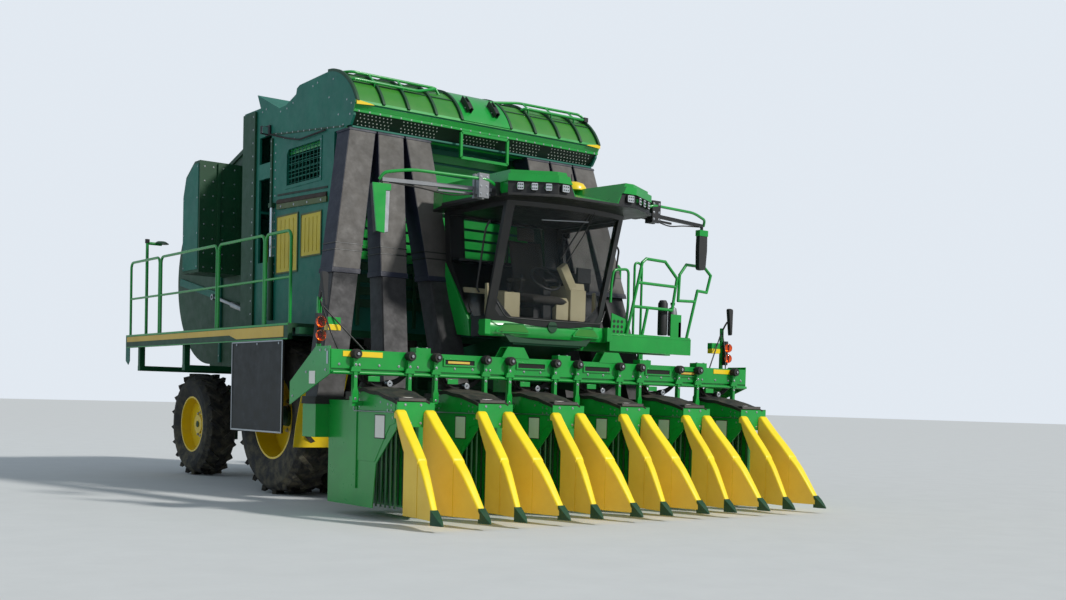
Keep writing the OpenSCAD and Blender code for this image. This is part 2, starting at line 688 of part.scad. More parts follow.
// The cab's outer form: an upright side outline cut by a leaning round windshield.
lean_angle = atan(cab_lean / (cab_top_z - cab_z - 190));
sill_z = 2150;
module cab_outline(inset) polygon([
    [cab_front_y - 100, sill_z - 190 + inset], [1340, cab_z + inset],
    [1340 - inset * 0.5, sill_z], [1890 - inset, 2840], [cab_rear_y - inset, cab_top_z - inset],
    [cab_front_y - cab_lean - 400, cab_top_z - inset], [cab_front_y - 400, cab_z + inset]]);
module screen_round(inset) translate([0, cab_front_y - 20, sill_z]) rotate([lean_angle, 0, 0])
    translate([0, screen_r, -900]) cylinder(h = 3200, r = screen_r - inset, $fn = 240);
module cab_volume(inset) intersection() {
    side_slab(-cab_half + inset, cab_half - inset) cab_outline(inset);
    screen_round(inset);
}
// Openings: [y, z] outlines for the sides, [x, z] for the windshield.
door_low_z = sill_z + 40;
module door_opening(edge) offset(delta = -edge)
    polygon([[1080, door_low_z], [1380, door_low_z], [1800, 2860], [1850, cab_top_z - 60],
             [760, cab_top_z - 60]]);
module windshield_opening(edge) offset(delta = -edge)
    polygon([[-760, door_low_z], [760, door_low_z], [760, cab_top_z - 60], [-760, cab_top_z - 60]]);
module through_front(edge) translate([0, 1000, 0]) rotate([90, 0, 0])
    linear_extrude(1200) windshield_opening(edge);
// The cab door's vertical hinge: its axis, the two hinges' heights and their pin.
door_hinge = [876, 1872];
hinge_zs = [2900, 3280];
hinge_pin_r = 12;
hinge_h = 70;
module cab_frame() color(near_black) {
    for (z = hinge_zs) {
        translate([door_hinge[0], door_hinge[1], z - 20])
            cylinder(h = hinge_h + 40, r = hinge_pin_r, $fn = 32);
        for (low = [z - 20, z + hinge_h + 1])
            block([cab_half - 10, door_hinge[1] - 16, low],
                  [door_hinge[0] + 16, door_hinge[1] + 30, low + 19]);
    }
    difference() {
        cab_volume(0);
        cab_volume(cab_wall);
        through_front(0);
        side_slab(-cab_half - 1, -cab_half + cab_wall + 1) door_opening(0);
        side_slab(cab_half - cab_wall - 1, cab_half + 1) door_opening(0);
        translate([-600, cab_rear_y - 300, 2900]) cube([1200, 400, 480]);
    }
}
module cab_glass() color(tint) {
    intersection() {
        difference() {
            cab_volume(cab_wall / 2);
            cab_volume(cab_wall / 2 + glass_t);
        }
        through_front(1);
    }
    side_slab(-cab_half + 15, -cab_half + 15 + glass_t) door_opening(1);
}
module cab_door() color(near_black) difference() {
    union() {
        side_slab(cab_half - cab_wall, cab_half) difference() {
            door_opening(5);
            door_opening(50);
        }
        for (z = hinge_zs) {
            translate([door_hinge[0], door_hinge[1], z]) cylinder(h = hinge_h, r = 20, $fn = 32);
            block([cab_half - 2, 1700, z], [cab_half + 10, 1780, z + hinge_h]);
            block([cab_half + 2, 1770, z], [door_hinge[0] + 10, door_hinge[1], z + hinge_h]);
        }
    }
    for (z = hinge_zs) translate([door_hinge[0], door_hinge[1], z - 1])
        cylinder(h = hinge_h + 2, r = hinge_pin_r + pin_fit, $fn = 32);
}
module cab_door_glass() color(tint)
    side_slab(cab_half - 25, cab_half - 25 + glass_t) door_opening(50);

// Roof of the cab: a lip, a fascia set back behind lamps, and a crown parted by a valley.
roof_half = 1040;
roof_lip = 20;
fascia_h = 125;
fascia_set = 25;
crown_top = 45;
// Half width of the valley at its floor and at the crown's top, and its slope to the rear.
valley = [300, 440, 14];
// The roof's slanting front corners: [x, y] where each begins and ends.
roof_corner = [[560, 150], [roof_half, 420]];
corner_angle = atan((roof_corner[1][1] - roof_corner[0][1]) / (roof_corner[1][0] - roof_corner[0][0]));
lamp_r = 42;
module roof_outline(edge) offset(delta = -edge)
    polygon([[-roof_half, 420], [-560, 150], [560, 150], [roof_half, 420], [roof_half, 1700],
             [940, 2050], [-940, 2050], [-roof_half, 1700]]);
module roof_lamp(at, turn) translate([at[0], at[1], cab_top_z + roof_lip + fascia_h / 2 + 8])
    rotate([90, 0, turn]) translate([0, 0, -40]) cylinder(h = 38, r = lamp_r, $fn = 40);
module cab_roof() color(bright_green) translate([0, 0, gap]) {
    difference() {
        translate([0, 0, cab_top_z]) {
            linear_extrude(roof_lip) roof_outline(0);
            translate([0, 0, roof_lip]) linear_extrude(fascia_h) {
                roof_outline(fascia_set);
                intersection() {
                    roof_outline(0);
                    translate([-2000, 560]) square([4000, 3000]);
                }
            }
            translate([0, 0, roof_lip + fascia_h])
                linear_extrude(roof_h - roof_lip - fascia_h - crown_top) roof_outline(0);
            translate([0, 0, roof_h - crown_top]) linear_extrude(crown_top) roof_outline(40);
        }
        translate([0, roof_corner[0][1], cab_top_z + roof_lip]) rotate([valley[2], 0, 0])
            translate([0, 1200, 0]) rotate([90, 0, 0]) linear_extrude(1400)
                polygon([[-valley[0], 0], [valley[0], 0], [2 * valley[1] - valley[0], 2 * roof_h - 40],
                         [valley[0] - 2 * valley[1], 2 * roof_h - 40]]);
    }
    both() {
        for (t = [0.2, 0.48, 0.76])
            roof_lamp(roof_corner[0] + t * (roof_corner[1] - roof_corner[0]), corner_angle);
        roof_lamp([470, roof_corner[0][1]], 0);
    }
}

// Seat, console and steering wheel.
wheel_at = [0, 865, 2760];
module cab_interior() color([0.2, 0.19, 0.17]) {
    floor_z = cab_z + cab_wall + gap;
    block([-180, 1130, floor_z], [180, 1300, 2360]);
    side_slab(-260, 260) polygon([[990, 2350], [1460, 2350], [1460, 2480], [1010, 2480], [985, 2440]]);
    side_slab(-240, 240)
        polygon([[1335, 2460], [1450, 2460], [1520, 3080], [1500, 3110], [1440, 3100]]);
    side_slab(-140, 140) polygon([[1445, 3090], [1505, 3090], [1520, 3220], [1460, 3230]]);
    side_slab(-620, -330)
        polygon([[1100, floor_z], [1060, 2400], [1110, 2460], [1290, 2460], [1290, floor_z]]);
    block([-60, 1002, floor_z], [60, 1070, floor_z + 40]);
    bar([0, 1032, floor_z + 15], wheel_at, 26);
    translate(wheel_at) rotate([-45, 0, 0]) {
        rotate_extrude($fn = 64) translate([150, 0]) circle(r = 14, $fn = 24);
        for (a = [90, 210, 330]) rotate([0, 0, a]) bar([0, 0, 0], [150, 0, 0], 10);
    }
}

module mirrors() color(near_black) both() {
    block([roof_half + gap, 640, cab_top_z + 20], [roof_half + 50, 780, cab_top_z + 120]);
    tube([[roof_half + 40, 710, cab_top_z + 80], [2345, 890, cab_top_z + 120],
          [2345, 890, cab_top_z + 50]], 22);
    block([2240, 860, cab_top_z - 510], [2450, 920, cab_top_z + 70]);
}

// The cylinders that raise the header: [y, z] of the foot, the barrel's end and the rod's eye.
cylinder_foot = [2600, 1230];
lift_cylinder = [cylinder_foot, [2240, 1293], [1830, 1364]];
module lift_cylinders() color([0.75, 0.75, 0.77]) both()
    ram(arm_x + 2, lift_cylinder, 48, 27, 70);

// Lift arms between the rear pivots and the header's pins.
module lift_arms() color(deep_green) both() difference() {
    side_slab(arm_x - arm_w / 2, arm_x + arm_w / 2) {
        translate([arm_pivot_y, arm_pivot_z]) circle(r = 62, $fn = 48);
        translate([arm_pin_y, arm_pin_z]) circle(r = 62, $fn = 48);
        polygon([[arm_pivot_y, arm_pivot_z + 60], [arm_pin_y, arm_pin_z + 60],
                 [arm_pin_y, arm_pin_z - 60], [arm_pivot_y, arm_pivot_z - 60]]);
    }
    x_bar(0, deck_out, arm_pivot_y, arm_pivot_z, pin_r + pin_fit);
    x_bar(0, deck_out, arm_pin_y, arm_pin_z, pin_r + pin_fit);
}

// Toolbar with its lower flange, the lift arms' lugs and the slanted end plates.
end_plate = [[680, 1740], [680, 1460], [1550, 1140], [1550, 1380], [980, 1740]];
module toolbar() color(bright_green) {
    block([-toolbar_half, toolbar_y, toolbar_top_z - toolbar_h],
          [toolbar_half, toolbar_y + toolbar_d, toolbar_top_z]);
    block([-toolbar_half, toolbar_y, toolbar_top_z - toolbar_h - 60],
          [toolbar_half, toolbar_y + 60, toolbar_top_z - toolbar_h - 20]);
    block([-toolbar_half, toolbar_y + 20, toolbar_top_z - toolbar_h - 20],
          [toolbar_half, toolbar_y + 40, toolbar_top_z - toolbar_h]);
    both() {
        side_slab(toolbar_half, toolbar_half + 12) polygon(end_plate);
        for (x = [arm_x - arm_w / 2 - 26, arm_x + arm_w / 2 + 6])
            block([x, toolbar_y + toolbar_d, 1330], [x + 20, 1105, 1475]);
        for (x = [arm_x - arm_w / 2 - 26, arm_x + arm_w / 2 + 6])
            block([x, toolbar_y + toolbar_d - 60, 1330], [x + 20, toolbar_y + toolbar_d, 1520]);
        x_bar(arm_x - arm_w / 2 - 26, arm_x + arm_w / 2 + 26, arm_pin_y, arm_pin_z, pin_r);
    }
}

// Pairs of straps that hang each unit from the toolbar's rail.
hang_x = 320;
module hangers() color(bright_green) for (i = [0 : row_count - 1], s = [-1, 1])
    block([row_x(i) + s * hang_x - 25, toolbar_y - 30, 1240],
          [row_x(i) + s * hang_x + 25, toolbar_y - gap, toolbar_top_z - 60]);

// Row units: side panel, drum housing, roof and front plate round the throat.
unit_right = 390;
module unit(i) translate([row_x(i), 0, 0]) {
    side_slab(-plate_off, -plate_off + sheet)
        polygon([[0, plate_top_z - plate_h - 20], [0, plate_top_z + 10],
                 [toolbar_y + 100, plate_top_z + 140], [toolbar_y + 100, cabinet_top_z],
                 [cabinet_len, cabinet_top_z], [cabinet_len, cabinet_low_z],
                 [440, cabinet_low_z], [380, 570]]);
    translate([0, 0, cabinet_low_z]) linear_extrude(cabinet_top_z - cabinet_low_z)
        polygon([[throat_w / 2, 150], [plate_w - plate_off - 1, 150], [unit_right, 420],
                 [unit_right, cabinet_len], [throat_w / 2, cabinet_len]]);
    block([-plate_off + sheet, 100, cabinet_top_z - 60],
          [throat_w / 2, cabinet_len, cabinet_top_z]);
    block([-plate_off, -8, plate_top_z - plate_h], [plate_w - plate_off, 0, plate_top_z]);
    block([-plate_off + sheet, 0, plate_top_z - 40], [throat_w / 2, 150, plate_top_z]);
    for (s = [-1, 1])
        block([s * hang_x - 25, toolbar_y - 30, 1140], [s * hang_x + 25, toolbar_y + 30, 1240 - gap]);
    block([-hang_x - 25, toolbar_y - 10, 1145], [hang_x + 25, toolbar_y + 20, 1195]);
}
// Outlet box behind a unit, under its air duct.
module outlet(i) {
    x = ducts[i][1];
    low = min(x - duct_w / 2, row_x(i) + unit_right - 150);
    high = max(x + duct_w / 2, row_x(i) - plate_off + 150);
    block([low, cabinet_len, 800], [high, duct_low_y + duct_d / 2, duct_low_z - gap]);
}
module row_cabinets() color(bright_green) for (i = [0 : row_count - 1]) {
    unit(i);
    outlet(i);
}

// Sloping rubber covers on the units.
module row_covers() color(near_black) for (i = [0 : row_count - 1])
    translate([row_x(i), 0, 0]) side_slab(-plate_off + sheet + gap, unit_right - 60)
        polygon([[5, plate_top_z + gap], [5, plate_top_z + 20], [toolbar_y - 40, plate_top_z + 135],
                 [toolbar_y - 40, plate_top_z + gap]]);

// Stalk guides: curved wedges that rise from the shoes to the plates. The one on a row's
// right is cut away behind its upper band.
guide_low = 100;
// Front of a guide from the plate down to the shoe: [y, height].
guide_crest = [[-30, 1125], [-85, 1065], [-195, 943], [-360, 774], [-570, 540], [-700, 350]];
// Near and far sides of a guide at the plate, halfway and at the shoe.
guide_left = [[guide_near, 150, 235], [guide_near + 120, 285, 320]];
guide_right = [[-guide_near - 23, -140, -225], [-guide_near - 143, -250, -300]];
module guide_side() polygon(concat(
    [[-8 - gap, guide_low], [-8 - gap, guide_low + guide_h]], guide_crest,
    [[-guide_reach, 165], [-guide_reach, guide_low]]));
module guide(sides) intersection() {
    side_slab(-400, 400) difference() {
        guide_side();
        if (sides[0][0] < 0)
            polygon([[0, 1040], [-44, 1033], [-86, 922], [-186, 744], [-210, 710], [-210, 0], [0, 0]]);
    }
    linear_extrude(2000) polygon([
        [sides[0][0], 0], [sides[1][0], 0], [sides[1][1], -450], [sides[1][2], -guide_reach],
        [sides[0][2], -guide_reach], [sides[0][1], -450]]);
}
module stalk_guides() color(guide_yellow)
    for (i = [0 : row_count - 1], sides = [guide_left, guide_right])
        translate([row_x(i), 0, 0]) guide(sides);
module guide_shoes() color(deep_green)
    for (i = [0 : row_count - 1], sides = [guide_left, guide_right])
        translate([row_x(i) + (sides[0][2] + sides[1][2]) / 2, 0, 0])
            side_slab(-45, 45) polygon([[-guide_reach - gap, shoe_z], [-guide_reach - gap, 165],
                                        [tip_y, shoe_z]]);

// Posts with mirrors and lamps on the header's end plates.
module light_posts() color(near_black) both() {
    bar([toolbar_half - 50, 1060, toolbar_top_z - 40], [toolbar_half - 50, 1060, 2440], 18);
    block([toolbar_half - 130, 1040, 2150], [toolbar_half + 30, 1100, 2520]);
    block([toolbar_half - 60, toolbar_y + toolbar_d, toolbar_top_z - 60],
          [toolbar_half, 1100, toolbar_top_z - 40]);
}

// Handler that carries a finished module down to the ground.
handler_hinge = [rail_rear_y - 80, 1300];
module module_handler() color(deep_green) {
    both() difference() {
        side_slab(rail_out + clear, rail_out + 80) {
            translate(handler_hinge) circle(r = 70, $fn = 48);
            polygon([[handler_hinge[0] - 40, handler_hinge[1] - 58],
                     [handler_rear_y - 160, handler_hinge[1] - 640],
                     [handler_rear_y, handler_hinge[1] - 560],
                     [handler_hinge[0] + 40, handler_hinge[1] + 58]]);
        }
        x_bar(0, 1000, handler_hinge[0], handler_hinge[1], pin_r + pin_fit);
    }
    x_bar(-1100, 1100, handler_rear_y - 90, handler_hinge[1] - 580, 60);
}

at_origin() chassis_frame();
at_origin() body_supports();
at_origin() axles();
at_origin() engine_block();
at_origin() lower_body();
at_origin() side_grilles();
at_origin() cotton_box();
at_origin() hood();
at_origin() upper_ducts();
at_origin() lower_ducts();
at_origin() module_chamber();
at_origin() chamber_belts();
at_origin() platform_right();
at_origin() platform_left();
at_origin() handrails();
at_origin() wheel_shields();
at_origin() cab_frame();
at_origin() cab_roof();
at_origin() cab_glass();
at_origin() cab_interior();
at_origin() mirrors();
at_origin() lift_cylinders();
at_origin() cab_door();
at_origin() cab_door_glass();
at_origin() lift_arms();
at_origin() toolbar();
at_origin() hangers();
at_origin() row_cabinets();
at_origin() row_covers();
at_origin() stalk_guides();
at_origin() guide_shoes();
at_origin() light_posts();
at_origin() front_tyres(1);  // front_tyres_left
at_origin() front_rims(1);  // front_rims_left
at_origin() front_tyres(-1);  // front_tyres_right
at_origin() front_rims(-1);  // front_rims_right
at_origin() knuckle(1);  // knuckle_left
at_origin() knuckle(-1);  // knuckle_right
at_origin() rear_tyre(1);  // rear_tyre_left
at_origin() rear_rim(1);  // rear_rim_left
at_origin() rear_tyre(-1);  // rear_tyre_right
at_origin() rear_rim(-1);  // rear_rim_right
at_origin() rear_gate();
at_origin() gate_cylinders();
at_origin() module_handler();
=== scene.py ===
"""Cotton picker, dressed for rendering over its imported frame.

Shapes are worked out in design millimetres (y = 0 at the row units' front plates, y towards the
rear) and put into meshes in the frame's metres. Each sub-assembly is one class.
"""

from __future__ import annotations

import logging
import math
from dataclasses import dataclass, field
from enum import Enum
from typing import Iterable, Sequence

import bmesh
import bpy
import numpy as np
from mathutils import Euler, Matrix

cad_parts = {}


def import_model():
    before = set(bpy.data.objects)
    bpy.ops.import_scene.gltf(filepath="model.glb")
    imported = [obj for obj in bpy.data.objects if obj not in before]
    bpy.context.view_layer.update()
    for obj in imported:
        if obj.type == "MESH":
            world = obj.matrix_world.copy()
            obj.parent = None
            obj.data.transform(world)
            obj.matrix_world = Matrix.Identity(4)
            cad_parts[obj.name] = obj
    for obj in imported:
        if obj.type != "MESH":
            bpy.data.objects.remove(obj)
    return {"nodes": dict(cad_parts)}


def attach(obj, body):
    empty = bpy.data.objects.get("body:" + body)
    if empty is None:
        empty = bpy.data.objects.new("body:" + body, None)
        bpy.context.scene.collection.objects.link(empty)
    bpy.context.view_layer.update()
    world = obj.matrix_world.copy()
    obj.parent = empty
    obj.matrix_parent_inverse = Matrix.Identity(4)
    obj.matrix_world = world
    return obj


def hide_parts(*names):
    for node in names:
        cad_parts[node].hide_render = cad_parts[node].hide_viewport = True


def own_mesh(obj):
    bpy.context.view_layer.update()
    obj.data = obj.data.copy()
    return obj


log = logging.getLogger("cotton_picker")
Array = np.ndarray
Socket = bpy.types.NodeSocket
Pair = tuple[float, float]
Point = Sequence[float]
Points = Sequence[Point]
MID_Y = 4065.0
ROWS = 6
ROW_PITCH = 965.0
FRONT, REAR, UP, ACROSS = (0, -1, 0), (0, 1, 0), (0, 0, 1), (1, 0, 0)


class Side(Enum):
    """A side of the machine, as the sign of its X."""

    RIGHT = -1
    LEFT = 1


SIDES = tuple(side.value for side in Side)


def metres(points: Array) -> Array:
    """Design millimetres to the frame's metres: y is shifted by the machine's middle."""
    return (np.asarray(points, float).reshape(-1, 3) - (0.0, MID_Y, 0.0)) / 1000.0


def row_x(row: int) -> float:
    """X of a row's centre: rows are evenly spaced about the middle."""
    return (row - (ROWS - 1) / 2) * ROW_PITCH


def unit(vectors: Array) -> Array:
    """Vectors divided by their lengths, along the last axis."""
    length = np.linalg.norm(vectors, axis=-1, keepdims=True)
    return vectors / np.where(length < 1e-9, 1.0, length)


# Finishes

# Noise values between which a finish drifts from its first colour to its second.
DRIFT_SPAN = (0.35, 0.68)
# Upward share of the normal between which dust begins to lie and lies fully.
UP_SPAN = (0.35, 1.0)
# Heights in metres between which thrown-up dust thins out, and its share at both.
SPLASH_HEIGHTS = (0.1, 1.9)
SPLASH_SHARES = (0.9, 0.12)
# Size of the dust's patches and the noise values between which they fade in.
DUST_PATCH_MM = 140.0
DUST_SPAN = (0.42, 0.75)
# Noise values between which a surface goes from its smoothest to its roughest.
ROUGH_SPAN = (0.3, 0.8)
# The same for the film on glass, and how much roughness it adds.
FILM_SPAN = (0.45, 0.8)
FILM_ROUGHNESS = 0.12
COAT_ROUGHNESS = 0.12


def linear(colour: str) -> tuple[float, float, float, float]:
    """An sRGB hex colour as linear RGBA: c/12.92 below 0.04045, else ((c+0.055)/1.055)^2.4.

    Args:
        colour: Six hex digits after a hash.

    Returns:
        Linear red, green, blue and an alpha of 1.
    """
    srgb = [int(colour[i : i + 2], 16) / 255 for i in (1, 3, 5)]
    r, g, b = (c / 12.92 if c <= 0.04045 else ((c + 0.055) / 1.055) ** 2.4 for c in srgb)
    return (r, g, b, 1.0)


def node(tree: bpy.types.NodeTree, kind: str, settings: dict | None = None, **links) -> bpy.types.Node:
    """Adds a node, sets its properties and links or sets its inputs.

    Args:
        tree: The material's node tree.
        kind: Blender's node type name.
        settings: Properties set on the node.
        **links: Input values or output sockets by the input's name, with _ for a space, or by
            its number after a _.

    Returns:
        The new node.
    """
    made = tree.nodes.new(kind)
    for name, value in (settings or {}).items():
        setattr(made, name, value)
    for name, value in links.items():
        socket = made.inputs[int(name[1:])] if name[1:].isdigit() else made.inputs[name.replace("_", " ")]
        if isinstance(value, Socket):
            tree.links.new(value, socket)
        else:
            socket.default_value = value
    return made


@dataclass(frozen=True)
class NodeSheet:
    """A cleared node tree and the few kinds of nodes that the finishes share."""

    tree: bpy.types.NodeTree

    def place(self) -> Socket:
        """Where a point lies on the object, in metres."""
        return node(self.tree, "ShaderNodeTexCoord").outputs["Object"]

    def noise(self, place: Socket, scale: float, detail: float,
              roughness: float = 0.5) -> Socket:
        """Cloudy noise, scale being patches to the metre."""
        return node(self.tree, "ShaderNodeTexNoise", Vector=place, Scale=scale, Detail=detail,
                    Roughness=roughness).outputs[0]

    def ramp(self, value: Socket, span: Pair,
             to: Pair = (0.0, 1.0)) -> Socket:
        """A value carried straight from one span to another and held at its ends."""
        return node(self.tree, "ShaderNodeMapRange", Value=value, From_Min=span[0], From_Max=span[1],
                    To_Min=to[0], To_Max=to[1]).outputs[0]

    def blend(self, share: Socket, first, second) -> Socket:
        """One colour going over into another by a share."""
        return node(self.tree, "ShaderNodeMix", {"data_type": "RGBA"}, _0=share, _6=first,
                    _7=second).outputs[2]

    def maths(self, operation: str, first, second) -> Socket:
        """One sum of two values."""
        return node(self.tree, "ShaderNodeMath", {"operation": operation}, _0=first, _1=second).outputs[0]

    def upward(self, vector: Socket) -> Socket:
        """The Z of a vector."""
        return node(self.tree, "ShaderNodeSeparateXYZ", Vector=vector).outputs[2]


def blank_material(name: str) -> tuple[bpy.types.Material, NodeSheet, bpy.types.Node]:
    """A material with nothing in its tree but the output node."""
    material = bpy.data.materials.new(name)
    material.use_nodes = True
    tree = material.node_tree
    tree.nodes.clear()
    return material, NodeSheet(tree), node(tree, "ShaderNodeOutputMaterial")


@dataclass(frozen=True)
class Finish:
    """A surface: what it is made of, how it was made and how it has aged.

    Colour drifts in patches between two hex values, a fine bump gives the grain, and dust
    lies where the surface faces up and low on the machine.
    """

    name: str
    colour: str
    drift: str
    roughness: float
    metallic: float = 0.0
    coat: float = 0.0
    patch_mm: float = 500.0
    grain_mm: float = 2.0
    grain: float = 0.05
    dust: float = 0.15
    dust_colour: str = "#8d8468"
    streak: float = 0.0

    def build(self) -> bpy.types.Material:
        """The material's node tree, named for what it stands for."""
        material, sheet, out = blank_material(self.name)
        place = sheet.place()
        share = sheet.ramp(sheet.noise(place, 1000 / self.patch_mm, 5.0, 0.62), DRIFT_SPAN)
        colour = sheet.blend(share, linear(self.colour), linear(self.drift))
        up = sheet.upward(node(sheet.tree, "ShaderNodeNewGeometry").outputs["Normal"])
        height = sheet.upward(place)
        tops = sheet.ramp(up, UP_SPAN)
        lying = sheet.maths("MAXIMUM", tops, sheet.ramp(height, SPLASH_HEIGHTS, SPLASH_SHARES))
        blown = sheet.noise(place, 1000 / DUST_PATCH_MM, 6.0, 0.7)
        amount = sheet.maths("MULTIPLY", lying, sheet.ramp(blown, DUST_SPAN))
        amount = sheet.maths("MULTIPLY", amount, self.dust)
        dusty = sheet.blend(amount, colour, linear(self.dust_colour))
        rougher = min(1.0, self.roughness * 1.25 + 0.05)
        rough = sheet.ramp(blown, ROUGH_SPAN, (self.roughness * 0.85, rougher))
        if self.streak:
            place = node(sheet.tree, "ShaderNodeMapping", Vector=place,
                         Scale=(1.0, 1.0, self.streak)).outputs[0]
        grain = sheet.noise(place, 1000 / self.grain_mm, 3.0)
        bump = node(sheet.tree, "ShaderNodeBump", Strength=self.grain, Distance=self.grain_mm / 1000,
                    Height=grain).outputs[0]
        shader = node(sheet.tree, "ShaderNodeBsdfPrincipled", Base_Color=dusty, Roughness=rough,
                      Metallic=self.metallic, Coat_Weight=self.coat, Coat_Roughness=COAT_ROUGHNESS,
                      Normal=bump)
        sheet.tree.links.new(shader.outputs[0], out.inputs[0])
        return material


@dataclass(frozen=True)
class Glazing:
    """Clear or tinted glass or lens plastic: refraction 1.5, almost no roughness.

    An alpha below 1 makes a thin tinted pane that lets straight light through.
    """

    name: str
    colour: str
    roughness: float = 0.02
    alpha: float = 1.0

    def build(self) -> bpy.types.Material:
        """A transmitting shader with a faint film of dust in its roughness."""
        material, sheet, out = blank_material(self.name)
        film = sheet.noise(sheet.place(), 6.0, 5.0)
        rough = sheet.ramp(film, FILM_SPAN, (self.roughness, self.roughness + FILM_ROUGHNESS))
        shader = node(sheet.tree, "ShaderNodeBsdfPrincipled", Base_Color=linear(self.colour), Roughness=rough,
                      IOR=1.5, Transmission_Weight=float(self.alpha == 1.0), Alpha=self.alpha)
        sheet.tree.links.new(shader.outputs[0], out.inputs[0])
        return material


# Sprayed two-coat enamel: smooth, glossy, deep colour with a faint orange peel.
GREEN = Finish("green_enamel", "#0d9a38", "#0b8c33", 0.30, coat=0.35, grain=0.03, dust=0.08)
# Painted shade: the same green paint on the side walls, coloured flat blue-green as they look in their own
# shade.
SIDE_GREEN_PAINTED_SHADE = Finish("side_enamel_painted_shade", "#006a57", "#005f50", 0.5, grain=0.03, dust=0.05)
# Painted shade: the same enamel coloured olive and darker on the hood's bays that face down the field and in
# the bumper's recesses, as they look in shade, with a little dust.
SHADED_BAY = Finish("hood_bay_painted_shade", "#1f7a22", "#34801c", 0.4, coat=0.2, patch_mm=900, grain=0.03, dust=0.10)
# Olive paint on the roller's beam.
OLIVE = Finish("olive_paint", "#4a5a22", "#3e4c1c", 0.5, coat=0.1, dust=0.2)
# Painted shadow: dark green put where the machine's own shadow falls, on the hood's band, in lamp bowls and
# holes, and over the roller.
SHADOW = Finish("painted_shadow_dark_green", "#0a2415", "#0c2a18", 0.6, dust=0.15)
# Dark green of frames and ribs, satin and a little dusty; on the module chamber, its roof rails and the cab's
# lower lip it is painted shade over green paint.
DEEP_GREEN = Finish("deep_green_enamel_and_painted_shade", "#084424", "#073c20", 0.5, grain=0.03, dust=0.10)
# Warm glossy yellow of rims and plates, with field dust in its lower parts.
RIM_YELLOW = Finish("yellow_enamel", "#f2cf12", "#e8c40e", 0.35, coat=0.25, grain=0.03, dust=0.25)
# Adhesive film of the stripes: even, tan and smoother than the paint under it.
STRIPE = Finish("tan_yellow_film", "#d9b64a", "#cfaa40", 0.45, coat=0.1, grain=0.02, dust=0.1)
# Rotationally moulded polyethylene: soft sheen, fine orange peel, scuffed by stalks.
GUIDE = Finish("moulded_polyethylene", "#fadf0c", "#f2d20a", 0.42, grain_mm=4.0, grain=0.10, dust=0.12)
# Painted shade: the same moulding on walls that face away from the field, matt and coloured tan as they look
# in shade.
GUIDE_SHADE = Finish("polyethylene_painted_shade", "#f6cf55", "#eec349", 0.6, grain_mm=4.0, grain=0.12, dust=0.06)
# Yellow enamel of the side grilles, dulled by lint.
GRILLE = Finish("dulled_yellow_enamel", "#cfb92c", "#c2ac28", 0.5, coat=0.1, dust=0.15)
# Satin black paint on steel.
BLACK = Finish("satin_black_paint", "#121314", "#1a1b1c", 0.45, coat=0.1, dust=0.18)
# Moulded black polypropylene with a fine grain.
PLASTIC = Finish("black_polypropylene", "#17181a", "#202122", 0.55, grain_mm=1.2, grain=0.12, dust=0.18)
# Black rubber of mats, bushings and hoses, dull and dusty in its folds.
RUBBER = Finish("black_rubber", "#161617", "#232221", 0.72, grain_mm=3.0, grain=0.25, dust=0.30)
# Tyre rubber: matt, with soil dried on it.
TYRE = Finish("tyre_rubber", "#19191a", "#242322", 0.85, grain_mm=4.0, grain=0.35, dust=0.65)
# Grey moulded ducts: dull, with dust and rubbed streaks.
DUCT = Finish("grey_duct_plastic", "#474441", "#55514d", 0.62, patch_mm=260, grain_mm=5.0, grain=0.2,
              dust=0.12, streak=0.15)
# The lower lengths, newer and blacker, with scuffs.
DUCT_LOW = Finish("black_duct_plastic", "#1f1e20", "#343234", 0.6, patch_mm=120, grain_mm=5.0, grain=0.25,
                  dust=0.12, streak=0.12)
# Painted reflection: the ducts' side walls coloured navy for the blue sky they mirror.
DUCT_SKY_REFLECTION = Finish("duct_plastic_painted_sky_reflection", "#1b1f33", "#15192a", 0.55, grain_mm=5.0, grain=0.15, dust=0.1)
# The roller's brown rubber cover, matt and worn.
ROLLER = Finish("brown_roller_rubber", "#2c2118", "#38291d", 0.7, dust=0.2)
# Cast aluminium of the mirror arm and the bottle: grey, half bright, sandy skin.
GREY_CAST = Finish("grey_cast_aluminium", "#8b8d90", "#7b7d80", 0.45, metallic=0.6, grain_mm=3.0, grain=0.15,
                   dust=0.08)
# Bright reflector behind a clear lens.
LAMP = Finish("lamp_reflector", "#e8eaec", "#d5d8da", 0.18, metallic=0.7, grain=0.0, dust=0.0)
# Zinc plated bolts and rods: bright, slightly clouded.
STEEL = Finish("zinc_plated_steel", "#b9bcbf", "#a5a8ab", 0.34, metallic=1.0, grain=0.03, dust=0.08)
# Polished chrome of piston rods and mirror faces.
CHROME = Finish("hard_chrome", "#dfe2e5", "#d6d9dc", 0.12, metallic=1.0, grain=0.0, dust=0.0)
# Warm beige trim of the cab, finely grained.
BEIGE = Finish("beige_trim_plastic", "#c2b894", "#b3a985", 0.6, grain_mm=1.5, grain=0.12, dust=0.0)
# Coarse woven cloth of the seat, dark and without shine.
SEAT = Finish("woven_seat_cloth", "#3a3630", "#2c2925", 0.9, grain_mm=2.5, grain=0.5, dust=0.0)
# Off-white label stock of blank plates and of the band's punched holes.
PLATE = Finish("pale_plate", "#e9e7e0", "#dedcd4", 0.5, grain=0.02, dust=0.1)
# Openings into which no light falls.
VOID = Finish("unlit_inside", "#0a0d0b", "#101311", 0.9, grain=0.1, dust=0.2)
# Painted iron castings, rough from the sand mould and oily brown in patches.
CAST = Finish("cast_iron_paint", "#2b2e2c", "#38332b", 0.6, grain_mm=6.0, grain=0.4, dust=0.3)
# Orange lens plastic of the marker lamps, and the cab's dark thin panes.
AMBER = Glazing("amber_lens", "#ff5a10", 0.08)
GLASS = Glazing("tinted_glass", "#142126", 0.0, alpha=0.14)

